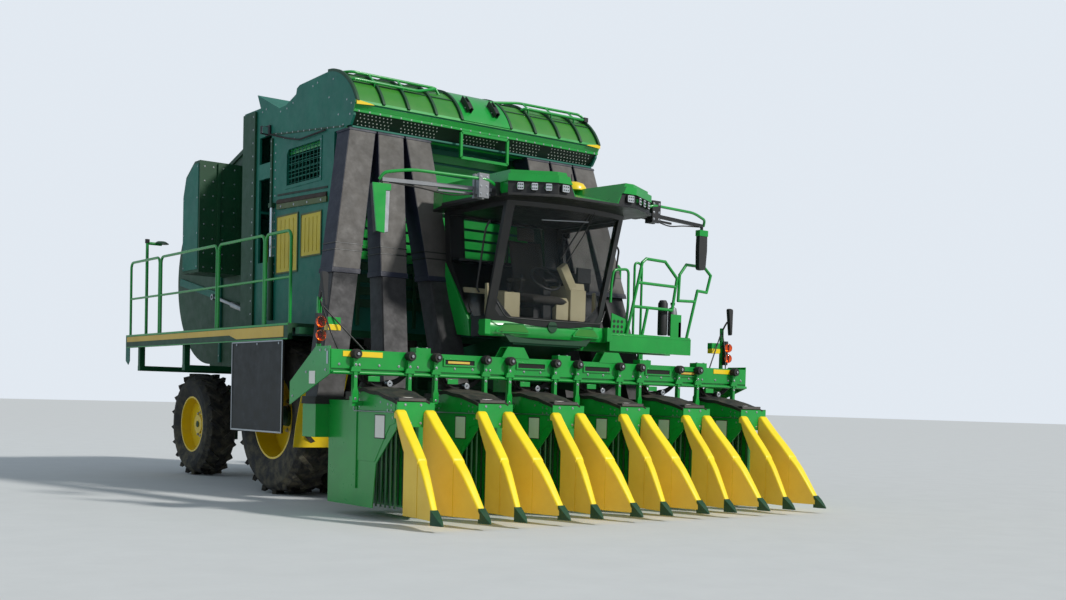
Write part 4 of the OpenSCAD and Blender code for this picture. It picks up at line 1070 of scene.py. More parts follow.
@dataclass
class Ducts:
    """Six air ducts that rise from the row units to the hood.

    The lower sections end at joint_z, and those in front of the door stand back by door_room.
    """

    tops: tuple[float, ...] = (-1670, -1290, -910, 910, 1290, 1670)
    feet: tuple[float, ...] = (-2610, -1780, -920, 860, 1400, 1900)
    top_y: float = 2620.0
    foot_y: float = 1530.0
    top_z: float = 4370.0
    foot_z: float = 1150.0
    joint_z: float = 2620.0
    lift: float = 417.4
    door_room: float = 50.0
    width: float = 345.0
    depth: float = 290.0

    def at(self, duct: int, z: float) -> Array:
        """The middle of a duct at a height, on the straight line between its ends."""
        t = (self.top_z - z) / (self.top_z - self.foot_z)
        return np.array([self.tops[duct] + t * (self.feet[duct] - self.tops[duct]),
                         self.top_y + t * (self.foot_y - self.top_y), z])

    def _length(self, duct: int, low: float, high: float, half: float, y0: float, y1: float) -> Solid:
        """A block that follows the duct between two heights.

        Args:
            duct: Which duct, from -X.
            low: Its lower height.
            high: Its upper height.
            half: Half its width.
            y0: Its front from the duct's middle.
            y1: Its rear from the duct's middle.

        Returns:
            The slanting block.
        """
        rings = [[(c[0] - half, c[1] + y0, c[2]), (c[0] + half, c[1] + y0, c[2]),
                  (c[0] + half, c[1] + y1, c[2]), (c[0] - half, c[1] + y1, c[2])]
                 for c in (self.at(duct, low), self.at(duct, high))]
        return loft(rings)

    def _face(self, duct: int, low: float, high: float, wide: float, out: float) -> Solid:
        """A slab 70 deep in the duct's front face between two heights, standing out by out."""
        front = -self.depth / 2
        return self._length(duct, low, high, self.width / 2 + wide, front - out, front + 70)

    def _collar(self, duct: int, z: float, tall: float, grow: float, back: float = 0.0) -> Solid:
        """A band round a duct, its front set back."""
        d = self.depth / 2 + grow
        return self._length(duct, z, z + tall, self.width / 2 + grow, back - d, d)

    def build(self) -> None:
        """Grey faces, dark sides, straps, and lower sections below them, with boots that ride on the header.
        """
        upper = Piece("duct_faces", "chassis", "duct_grey")
        lower = Piece("duct_lower_sections", "chassis", "black_rubber")
        boots = Piece("duct_boots", "header", "black_rubber")
        joint, foot, top = self.joint_z, self.foot_z, self.top_z
        for duct in range(len(self.tops)):
            upper.put(DUCT, self._face(duct, joint + 4, top - 2, -5, 5))
            # Painted reflection: the navy bands take the sky colour that the duct sides mirror.
            upper.put(DUCT_SKY_REFLECTION, self._collar(duct, top - 34, 30, 10))
            upper.put(BLACK, *(self._collar(duct, joint + strap, 16, 7) for strap in (330, 250)))
            upper.put(DUCT_SKY_REFLECTION, self._collar(duct, joint - 10, 60, 9))
            back = 0.0 if self.tops[duct] < 0 else self.door_room
            lower.put(DUCT_LOW, self._collar(duct, foot, joint - foot - 2, -12, back))
            lower.put(DUCT_LOW, self._face(duct, foot + 500, joint - 12, -18, 3 - back))
            lower.put(PLASTIC, self._collar(duct, foot + 460, 26, 4, back))
            boots.put(RUBBER, self._collar(duct, foot + 1, 80, 14))
        upper.make(4.0)
        sections = lower.make(4.0, replaces=["lower_ducts"])
        boots.make(4.0)
        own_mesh(sections)
        # Painted reflection: the upper ducts' side walls take the navy of the sky they mirror.
        dress(DUCT_SKY_REFLECTION, "upper_ducts")


@dataclass
class Hood:
    """The hood over the ducts' tops: ribbed round front, perforated band, arch and guard tubes.

    Pairs are (y, z): the head is the round front's lower edge, the lip the bright edge under it
    and the foot the lower end of the band.
    """

    half: float = 1840.0
    centre: Pair = (3080.0, 4300.0)
    radius: float = 810.0
    head: Pair = (2345.0, 4640.0)
    lip: Pair = (2395.0, 4548.0)
    foot: Pair = (2570.0, 4371.0)
    ribs: tuple[float, ...] = (-1820, -1475, -1135, -745, -370, 370, 760, 1145, 1505, 1820)
    stringer_angles: Pair = (114.0, 131.0)
    hinges_x: Pair = (-235.0, 165.0)
    frame_half: float = 350.0
    frame_z: Pair = (4205.0, 4512.0)
    rows_of_holes: int = 4
    hole_pitch: float = 52.0
    hole_radius: float = 8.0

    def build(self) -> None:
        """Makes the hood's bays, lip, band, guard tubes and side trim."""
        self.bays()
        self.lips()
        self.band()
        self.guards()
        self.back()
        # Painted shade: the hood's own sheet takes the blue-green of the sides in shade.
        dress(SIDE_GREEN_PAINTED_SHADE, "hood")

    def _arc(self, grow: float, first: float = 155.0, last: float = 92.0, count: int = 20) -> Array:
        """Points (y, z) of the round front between two angles, on a circle grown outwards.

        Args:
            grow: Millimetres outside the hood's own sheet.
            first: Angle at the lip, in degrees from the rear.
            last: Angle at the crest.
            count: How many points.

        Returns:
            An (n, 2) array.
        """
        angle = np.radians(np.linspace(first, last, count))
        r = self.radius + grow
        return np.stack([self.centre[0] + r * np.cos(angle), self.centre[1] + r * np.sin(angle)], axis=1)

    def _strip(self, x0: float, x1: float, grow: float, thick: float, **arc: float) -> Solid:
        """A strip of the round front between two x, standing outwards by grow."""
        curve = self._arc(grow, **arc)
        grid = np.stack([np.insert(curve, 0, x, axis=1) for x in (x0, x1)])
        return panel(grid, thick)

    def bays(self) -> None:
        """Bays painted olive as shade between dark ribs with two stringers, and the smooth arch in the
        middle.
        """
        sheet = Piece("hood_bays", "chassis", "green_paint")
        ribs = Piece("hood_ribs", "chassis", "dark_green_paint")
        for x0, x1 in zip(self.ribs[:-1], self.ribs[1:]):
            in_arch = x0 == -x1
            # Painted shade: the bays outside the arch are olive.
            sheet.put(GREEN if in_arch else SHADED_BAY, self._strip(x0, x1, 24 if in_arch else 4, 10))
        for x in self.ribs:
            ribs.put(DEEP_GREEN, self._strip(x - 17, x + 17, 34, 36))
        for angle in self.stringer_angles:
            for x0, x1 in ((self.ribs[0], self.ribs[4]), (self.ribs[5], self.ribs[9])):
                stringer = self._strip(x0, x1, 15, 16, first=angle + 0.6, last=angle - 0.6, count=3)
                ribs.put(DEEP_GREEN, stringer)
        for x in self.hinges_x:
            for ear in (x - 26, x + 26):
                ribs.put(BLACK, self._strip(ear - 6, ear + 6, 95, 72, first=146.0, last=130.0, count=6))
            ribs.put(BLACK, self._strip(x - 26, x + 26, 96, 10, first=145.0, last=138.0, count=3))
            ribs.put(STEEL, tube([(x - 44, 2420, 4830), (x + 44, 2420, 4830)], 9, 0, 8))
        sheet.make(2.0, 40)
        ribs.make(2.0, 40)

    def lips(self) -> None:
        """Two bright edges under the front, end patches, bolt row and the hanging frame."""
        piece = Piece("hood_lips", "chassis", "green_paint")
        (hy, hz), (ly, lz) = self.head, self.lip
        # The rolled upper edge, the sheet that leads down from it and the square lower edge.
        edges = ([(hy - 14, hz - 6), (hy - 2, hz + 26), (hy + 22, hz + 30), (hy + 16, hz - 12)],
                 [(hy + 6, hz - 22), (hy + 16, hz - 16), (ly + 6, lz + 4), (ly - 2, lz - 6)],
                 [(ly - 18, lz - 12), (ly - 18, lz + 14), (ly + 12, lz + 14), (ly + 12, lz - 12)])
        for edge in edges:
            piece.put(GREEN, prism(edge, "x", -self.half - 2, self.half + 2))
        for side in SIDES:
            patch = [(side * x, hz + dz) for x, dz in ((1838, -30), (1838, 22), (1640, -2), (1600, -14))]
            piece.put(RIM_YELLOW, prism(patch, "y", hy - 20, hy - 12))
        piece.bolt(rows_of((-1780, ly - 18, lz), (1780, ly - 18, lz), 26), FRONT, 8, 5)
        low, high = self.frame_z
        corners = rectangle((-self.frame_half, low), (self.frame_half, high))
        for (x0, z0), (x1, z1) in zip(corners, np.roll(corners, -1, axis=0)):
            piece.put(GREEN, beam((x0, 2378, z0), (x1, 2378, z1), 34, 34, REAR))
        piece.make(3.0)

    def band(self) -> None:
        """Slanting plate under the lip: four rows of pale punched holes in groups in a sheet painted dark as
        shadow.
        """
        piece = Piece("hood_band", "chassis", "dark_green_paint")
        a, b = np.array(self.lip), np.array(self.foot)
        down = unit(b - a)
        out = np.array([down[1], -down[0]])
        grid = np.stack([[(x, *(a + out)), (x, *(b + out))] for x in (-self.half + 8, self.half - 8)])
        # Painted shadow: the band under the lip is dark green.
        piece.put(SHADOW, panel(grid, 6))
        turn, r = turns(8), self.hole_radius
        ring = np.stack([r * np.cos(turn), *(r * np.sin(turn) * d for d in down)], axis=1)
        hole = loft(np.stack([ring + (0, *a), ring + (0, *(a + out * 10))]))
        groups = ((-1740, -1290), (-1150, -640), (-250, 250), (470, 900), (1090, 1720))
        x = np.concatenate([np.arange(low, high, self.hole_pitch) for low, high in groups])
        spots = [(px + 20 * (k % 2), *(down * (34 + 46 * k)))
                 for k in range(self.rows_of_holes) for px in x]
        piece.put(PLATE, hole.repeated(spots))
        edge = [(b[0] - 28, b[1] - 2), (b[0] - 12, b[1] + 14), (b[0] + 14, b[1] + 2), (b[0] + 2, b[1] - 18)]
        piece.put(GREEN, prism(edge, "x", -self.half, self.half))
        piece.make(0)

    def guards(self) -> None:
        """Bent guard tubes over each half of the hood, on short posts from the ribs."""
        piece = Piece("hood_guards", "chassis", "green_paint")
        paths = (
            [(-1790, 2760, 5060), (-1730, 2660, 5062), (-560, 2660, 5062), (-520, 2640, 4975)],
            [(-1800, 2560, 4925), (-1780, 2520, 4945), (-900, 2520, 4945), (-560, 2655, 5055)],
            [(150, 2690, 5010), (740, 2700, 5100), (1770, 2700, 5110), (1830, 2660, 5040)],
            [(720, 2610, 4990), (760, 2560, 5010), (1700, 2560, 5010), (1826, 2660, 5045)],
        )
        for path in paths:
            piece.put(GREEN, tube(path, 17, 60))
        # The posts of each half: their X, then (y, z) of the lower and of the upper tube.
        halves = (((-1500, -1110), (2520, 4945), (2660, 5062)),
                  ((800, 1180, 1560), (2560, 5010), (2700, 5105)))
        for posts, lower, upper in halves:
            y, z = lower
            for x in posts:
                piece.put(GREEN, beam((x, y, z), (x, *upper), 30, 12))
                piece.put(GREEN, beam((x, y + 10, z - 90), (x, y, z), 26, 12, ACROSS))
        piece.put(BLACK, box((1770, 2590, 5000), (1836, 2660, 5060)))
        piece.make(2.0)

    def back(self) -> None:
        """Rivets on the side plates, the strap line with its hose and the work lamp on each side."""
        piece = Piece("hood_side_trim", "chassis", "green_paint")
        spots = ((2560, 4700), (2760, 4560), (2900, 5000), (3300, 5030), (3420, 5010), (3950, 4900),
                 (4120, 4860), (4300, 4850), (4720, 4950), (4830, 4930), (2480, 4520), (2640, 4420),
                 (3900, 4450), (4200, 4500), (3000, 4800), (2450, 4640))
        strap = ((2620, 4400), (3300, 4470), (4250, 4560), (4500, 4600))
        hose = ((18, 3050, 4420), (34, 3700, 4400), (20, 4100, 4480), (16, 4560, 4600))
        for side in SIDES:
            x, out = side * self.half, (side, 0, 0)
            piece.bolt([(x, y, z) for y, z in spots], out, 9, 5)
            for start, end in zip(strap[:-1], strap[1:]):
                piece.put(DEEP_GREEN, beam((x + side * 4, *start), (x + side * 4, *end), 8, 18))
            face = x + side * 8
            piece.bolt(rows_of((face, 2700, 4408), (face, 4400, 4584), 12), out, 8, 5)
            piece.put(RUBBER, tube([(x + side * proud, y, z) for proud, y, z in hose], 11, 80, 8))
            piece.put(BLACK, flank(side, self.half, self.half + 26, (4560, 4590), (4690, 4720)))
            piece.put(PLASTIC, flank(side, self.half + 20, self.half + 120, (4590, 4600), (4640, 4700)))
            piece.put(CHROME, flank(side, self.half + 26, self.half + 114, (4584, 4606), (4591, 4694)))
        piece.make(2.0)


@dataclass
class Body:
    """Cotton box and the walls below it: mesh window, slots, grilles and their posts.

    The window and the grilles are given as (y0, y1, z0, z1).
    """

    half: float = 1840.0
    window: tuple[float, float, float, float] = (3190.0, 4080.0, 3880.0, 4330.0)
    grilles: tuple[tuple[float, ...], ...] = ((3130.0, 3650.0, 2950.0, 3470.0),
                                              (3750.0, 4330.0, 2790.0, 3510.0))
    slat_y: float = 2822.0
    posts_x: tuple[float, ...] = (-1500.0, -1100.0, -700.0, 700.0, 1100.0, 1500.0)

    def build(self) -> None:
        """Makes the trim on both sides and the slatted front."""
        self.frames()
        self.sides()
        self.front()
        # Painted shade: the cotton box and lower body take the blue-green of their sides in shade.
        dress(SIDE_GREEN_PAINTED_SHADE, "cotton_box", "lower_body")
        dress(GRILLE, "side_grilles")

    def frames(self) -> None:
        """A flat frame round each mesh window and finer level wires in it."""
        piece = Piece("mesh_frames", "chassis", "green_paint")
        y0, y1, z0, z1 = self.window
        outer = np.array([[y0 - 40, z0 - 40], [y1 + 40, z0 - 40], [y1 + 40, z1 - 40], [y1 - 30, z1 + 50],
                          [y0 - 40, z1 + 50]])
        inner = np.array([[y0, z0], [y1, z0], [y1, z1 - 60], [y1 - 50, z1], [y0, z1]])
        for side in SIDES:
            x = side * (self.half + 3)
            # Painted shade: frames and wires take the sides' blue-green shade colour.
            piece.put(SIDE_GREEN_PAINTED_SHADE, plate_ring(outer, inner, "x", x - 6, x + 6))
            wire = tube([(side * 1812, y0, 0), (side * 1812, y1, 0)], 4, 0, 6)
            piece.put(SIDE_GREEN_PAINTED_SHADE, wire.repeated([(0, 0, z) for z in np.linspace(z0 + 28, z1 - 28, 8)]))
            piece.put(GREEN, flank(side, 1796, 1804, (y0 - 10, z1 - 60), (y1 + 10, z1 + 10)))
            face, y = x + side * 6, y0 - 22
            piece.bolt(rows_of((face, y, z0), (face, y, z1), 5), (side, 0, 0), 7, 4)
        piece.make(0)

    def sides(self) -> None:
        """Roller with its beam, dark posts, the gate's bright rod and lines of bolts."""
        piece = Piece("side_trim", "chassis", "green_paint")
        for side in SIDES:
            self._side(piece, side)
        piece.make(3.0)

    def _side(self, piece: Piece, side: int) -> None:
        """What stands on one side wall; depths are measured from a face 9 outside it.

        Args:
            piece: The piece that gathers both sides.
            side: The sign of its X.
        """

        def at(proud: float, y: float, z: float) -> tuple[float, float, float]:
            """A point that stands out from the face by proud."""
            return (side * (self.half + 9 + proud), y, z)

        def bolt_row(start: tuple, end: tuple, count: int, r: float, h: float) -> None:
            """Evenly spaced bolt heads that face outwards."""
            piece.bolt(rows_of(at(*start), at(*end), count), (side, 0, 0), r, h)

        rod_y, post_y = 4440, 4510
        piece.put(ROLLER, tube([at(-26, 3000, 3652), at(-26, 4340, 3700)], 40, 0, 16))
        piece.put(OLIVE, beam(at(-8, 2985, 3592), at(-8, 4330, 3640), 44, 66))
        bolt_row((14, 3120, 3596), (14, 4200, 3634), 4, 11, 6)
        # Painted shadow: a dark strip over the roller.
        piece.put(SHADOW, beam(at(-12, 2985, 3738), at(-12, 4340, 3790), 20, 26))
        bolt_row((-9, 4420, 2700), (-9, 4420, 4560), 18, 9, 5)
        piece.put(DEEP_GREEN, flank(side, self.half, self.half + 31, (4990, 2100), (5360, 4960)))
        bolt_row((22, 5040, 2300), (22, 5040, 4900), 16, 9, 5)
        piece.put(CHROME, tube([at(26, rod_y, 3000), at(26, rod_y, 3640)], 20, 0, 16))
        piece.put(DEEP_GREEN, tube([at(26, rod_y, 2200), at(26, rod_y, 3010)], 34, 0, 16))
        piece.put(DEEP_GREEN, flank(side, self.half, self.half + 60, (4400, 3640), (4490, 3700)))
        piece.put(DEEP_GREEN, beam(at(0, post_y, 2200), at(0, post_y, 4540), 24, 46, REAR))
        bolt_row((12, post_y, 2400), (12, post_y, 4500), 13, 8, 5)
        for y0, y1, z0, z1 in self.grilles:
            rim = rectangle((y0 - 12, z0 - 12), (y1 + 12, z1 + 12))
            hole = rectangle((y0 + 8, z0 + 8), (y1 - 8, z1 - 8))
            low, high = sorted((side * (self.half + 6), side * (self.half + 13)))
            piece.put(OLIVE, plate_ring(rim, hole, "x", low, high))

    def front(self) -> None:
        """Bright slatted and perforated panels behind the ducts, between dark posts."""
        piece = Piece("slatted_front", "chassis", "green_paint")
        slat = prism([(0, 0), (26, 8), (26, 84), (0, 100)], "x", -1780, 1780)
        piece.put(GREEN, slat.repeated([(0, self.slat_y, 2900 + 130 * k) for k in range(11)]))
        piece.put(DEEP_GREEN, slat.repeated([(0, self.slat_y, 2320 + 150 * k) for k in range(4)]))
        piece.put(DEEP_GREEN, box((-1800, 2812, 3560), (1800, 2845, 3640)))
        turn = turns(6)
        rings = [[(8 * math.cos(a), y, 8 * math.sin(a)) for a in turn] for y in (2808.0, 2813.0)]
        dots = [(x, 0, z) for x in np.arange(-1160, 1161, 58.0) for z in (3575, 3600, 3625)]
        piece.put(PLATE, loft(rings).repeated(dots))
        for x in self.posts_x:
            piece.put(DEEP_GREEN, box((x - 22, 2806, 2100), (x + 22, 2830, 4340)))
        piece.make(2.0)


@dataclass
class ModuleBuilder:
    """Round module chamber, its drive housings, roof and the rear gate."""

    half: float = 1370.0
    housing: float = 2000.0
    housing_front: float = 6499.0
    bolt_columns: tuple[float, ...] = (1480.0, 1650.0, 1800.0, 1930.0)
    stiffeners_y: Pair = (5700.0, 6050.0)

    def build(self) -> None:
        """Makes the trim of the fixed half and of the gate."""
        self.fixed()
        self.gate()
        # Painted shade: the chamber's dark green is how its green paint looks in shadow.
        dress(DEEP_GREEN, "module_chamber", "module_handler")
        dress(RUBBER, "chamber_belts")
        dress(STEEL, "gate_cylinders", "lift_cylinders")
        dress(DEEP_GREEN, "rear_gate")

    def fixed(self) -> None:
        """Housings with covers painted teal as shade and bolt rows, roof channels painted dark as shade, side
        stiffeners and hoses.
        """
        piece = Piece("chamber_trim", "chassis", "dark_green_paint")
        cover = [(6540, 2990), (7080, 2990), (7080, 4040), (6990, 4300), (6700, 4480), (6540, 4480)]
        edge = [(6570, z) for z in (3030, 3500, 4000, 4440)] + [(7050, z) for z in (3030, 3500, 4000)]
        y, wall = self.housing_front, self.half - 1
        for side in SIDES:
            x = side * (self.housing + 8)
            # Painted shade: covers and stiffeners take the sides' blue-green shade colour.
            piece.put(SIDE_GREEN_PAINTED_SHADE, side_plate(side, cover, self.housing, self.housing + 8))
            piece.bolt([(x, *place) for place in edge], (side, 0, 0), 9, 5)
            for px in self.bolt_columns:
                column = rows_of((side * px, y, 3020), (side * px, y, 4440), 8)
                piece.bolt(column, FRONT, 9, 5)
            piece.put(DEEP_GREEN, flank(side, 1700, 1740, (6470, 3000), (6500, 4500)))
            for rib_y in self.stiffeners_y:
                piece.put(SIDE_GREEN_PAINTED_SHADE, flank(side, wall, wall + 51, (rib_y, 1800), (rib_y + 60, 4700)))
            rail_x = side * (self.half - 5)
            # Painted shade: the roof rail is dark green as the overhang's shaded underside.
            piece.put(DEEP_GREEN, beam((rail_x, 5420, 5010), (rail_x, 6940, 4560), 60, 60, ACROSS))
            piece.put(SIDE_GREEN_PAINTED_SHADE, flank(side, wall, wall + 11, (5450, 3300), (6460, 4560)))
            hose = ((1420, 5500, 2100), (1420, 5800, 2500), (1430, 6300, 2700))
            piece.put(RUBBER, tube([(side * px, py, pz) for px, py, pz in hose], 22, 80, 10))
        hat = lathe([(0.1, 46), (60, 40), (105, 12), (110, 0), (0.1, 0)], (-1880, 8250, 3495), "z", 28)
        piece.put(DEEP_GREEN, hat)
        piece.put(BLACK, lathe([(0.1, 0), (34, 0), (34, 60), (0.1, 60)], (-2100, 8250, 3490), "z", 16))
        piece.make(3.0)

    def gate(self) -> None:
        """Side stiffeners and bolts of the gate."""
        piece = Piece("gate_trim", "gate", "green_paint")
        for side in SIDES:
            x = side * self.half
            # Painted shade: the gate's side stiffeners take the sides' blue-green shade colour.
            piece.put(SIDE_GREEN_PAINTED_SHADE, flank(side, self.half, self.half + 30, (7125, 1700), (7185, 4280)))
            piece.put(SIDE_GREEN_PAINTED_SHADE, beam((x + side * 14, 7180, 2672), (x + side * 14, 8700, 2980), 28, 110))
            column = rows_of((x + side * 30, 7155, 1800), (x + side * 30, 7155, 4200), 14)
            piece.bolt(column, (side, 0, 0), 9, 5)
        piece.make(3.0)


@dataclass
class Platforms:
    """Walkways, landing fittings, wheel shields and the crop deflectors."""

    deck_z: float = 2090.0
    out: float = 2300.0
    shield_x: float = 2292.0

    def build(self) -> None:
        """Makes everything a person walks on or holds."""
        self.landing()
        self.beams()
        self.deflectors()
        self.ladder()
        dress(DEEP_GREEN, "platform_right")
        dress(GREEN, "platform_left", "handrails")
        dress(PLASTIC, "wheel_shields")

    def landing(self) -> None:
        """Small loop, two bottles, perforated bracket and grab rod at the front landing."""
        piece = Piece("landing_fittings", "chassis", "green_paint")
        z = self.deck_z
        loop = [(1010, 1075, 2460), (1020, 1075, 2690), (1050, 1075, 2860), (1290, 1075, 2885),
                (1300, 1075, 2460), (1262, 1075, z + 2)]
        piece.put(GREEN, tube(loop, 17, 60))
        bottle = [(0.1, 0), (52, 0), (58, 16), (58, 290), (46, 350), (20, 362), (20, 385), (0.1, 385)]
        valve = [(0.1, 385), (28, 385), (30, 420), (0.1, 420)]
        place = (2075, 1100, z + 20)
        piece.put(GREY_CAST, lathe(bottle, place, "z", 24))
        piece.put(BLACK, lathe(valve, place, "z", 16))
        hose = [(2075, 1095, z + 430), (2030, 1070, z + 400), (2010, 1070, z + 200)]
        piece.put(BLACK, tube(hose, 9, 50, 8))
        tank = [(0.1, 0), (58, 0), (62, 20), (62, 400), (40, 440), (0.1, 440)]
        piece.put(PLASTIC, lathe(tank, (1925, 1120, z + 20), "z", 24))
        piece.put(GREEN, box((1985, 1030, z), (2165, 1038, z + 285)))
        piece.put(GREEN, box((2120, 1030, z), (2165, 1150, z + 190)))
        bracket = [(1000, 2062), (1262, 2062), (1232, 2270), (1010, 2330)]
        piece.put(GREEN, prism(bracket, "y", 1040, 1052))
        spot = lathe([(0.1, 0), (20, 0), (20, 4), (0.1, 4)], (0, 1036.5, 0), "y", 16)
        first, pitch = (1050, 2110), 62
        grid = [(first[0] + pitch * i, 0, first[1] + pitch * j) for i in range(3) for j in range(3)]
        # Painted shadow: the bracket's holes are dark discs.
        piece.put(SHADOW, spot.repeated(grid))
        rod = [(1060, 1100, 3320), (1052, 1100, 3190), (1140, 1090, 3110), (1092, 1080, 2860),
               (1050, 1080, 2640), (950, 1085, 2570)]
        piece.put(BLACK, tube(rod, 12, 40, 8))
        piece.put(PLASTIC, lathe([(0.1, 0), (16, 4), (18, 110), (0.1, 118)], (1060, 1100, 3250), "z", 12))
        piece.make(0, 50)

    def beams(self) -> None:
        """Outer beams: tan-yellow stripe on the right, green fascia and tread plate."""
        piece = Piece("platform_trim", "chassis", "green_paint")
        x = -self.out
        stripe = [(3160, 1930), (4500, 1930), (4720, 1985), (8500, 1985), (8500, 2062), (3160, 2062)]
        piece.put(STRIPE, prism(stripe, "x", x - 4, x))
        for low, high in ((2066, 2092), (1898, 1912)):
            piece.put(GREEN, box((x - 6, 3050, low), (x + 1, 8520, high)))
        bracket = [(8520, 2092), (8545, 2092), (8545, 1700), (8440, 1640), (8380, 1700), (8380, 1900),
                   (8520, 1900)]
        # Painted shade: the bracket takes the sides' blue-green shade colour.
        piece.put(SIDE_GREEN_PAINTED_SHADE, prism(bracket, "x", x - 4, x + 6))
        piece.put(GREEN, box((945, 990, 1868), (2305, 1004, 2062)), box((945, 988, 2056), (2305, 1010, 2072)))
        for side in SIDES:
            rib = flank(side, 1862, 2238, (0, self.deck_z), (12, self.deck_z + 6))
            piece.put(DEEP_GREEN, rib.repeated([(0, y, 0) for y in np.arange(3080, 8480, 60)]))
        piece.make(2.0)

    def deflectors(self) -> None:
        """Light frame of the wheel shields and the curved crop deflectors before the wheels."""
        piece = Piece("crop_deflectors", "chassis", "yellow_paint")
        rim, hole = rectangle((3186, 776), (4644, 1896)), rectangle((3206, 796), (4624, 1880))
        # u runs up a deflector, v across it and outwards.
        u, v = np.meshgrid(np.linspace(0, 1, 14), np.linspace(0, 1, 5), indexing="ij")
        for side in SIDES:
            x = side * self.shield_x
            piece.put(STEEL, plate_ring(rim, hole, "x", *sorted((x, x + side * 6))))
            piece.bolt([(x, y, 1860) for y in (3300, 3900, 4500)], (side, 0, 0), 12, 6)
            across = side * (1650 + 520 * v + 80 * (1 - u))
            sheet = np.stack([across, 2740 + 150 * np.cos(u * 2.2) + 60 * v, 620 + 1100 * u], axis=-1)
            piece.put(RIM_YELLOW, panel(sheet, 10))
            arm_x = side * 1900
            piece.put(DEEP_GREEN, beam((arm_x, 2900, 1700), (arm_x, 2930, 1962), 60, 30, REAR))
            piece.put(CAST, flank(side, 1500, 2200, (2820, 1500), (2900, 1560)))
        piece.make(3.0)

    def ladder(self) -> None:
        """Tread plates on the ladder's steps and its hand loops."""
        piece = Piece("ladder_trim", "chassis", "green_paint")
        z = self.deck_z
        for y in (1980, 2420):
            piece.put(GREEN, tube([(2330, y, z), (2330, y, 3100), (2200, y, 3120), (2200, y, z)], 17, 80))
        tread = box((2300, 1965, 0), (2500, 2435, 6))
        piece.put(DEEP_GREEN, tread.repeated([(0, 0, step + 30) for step in range(500, 1940, 320)]))
        piece.make(2.0)


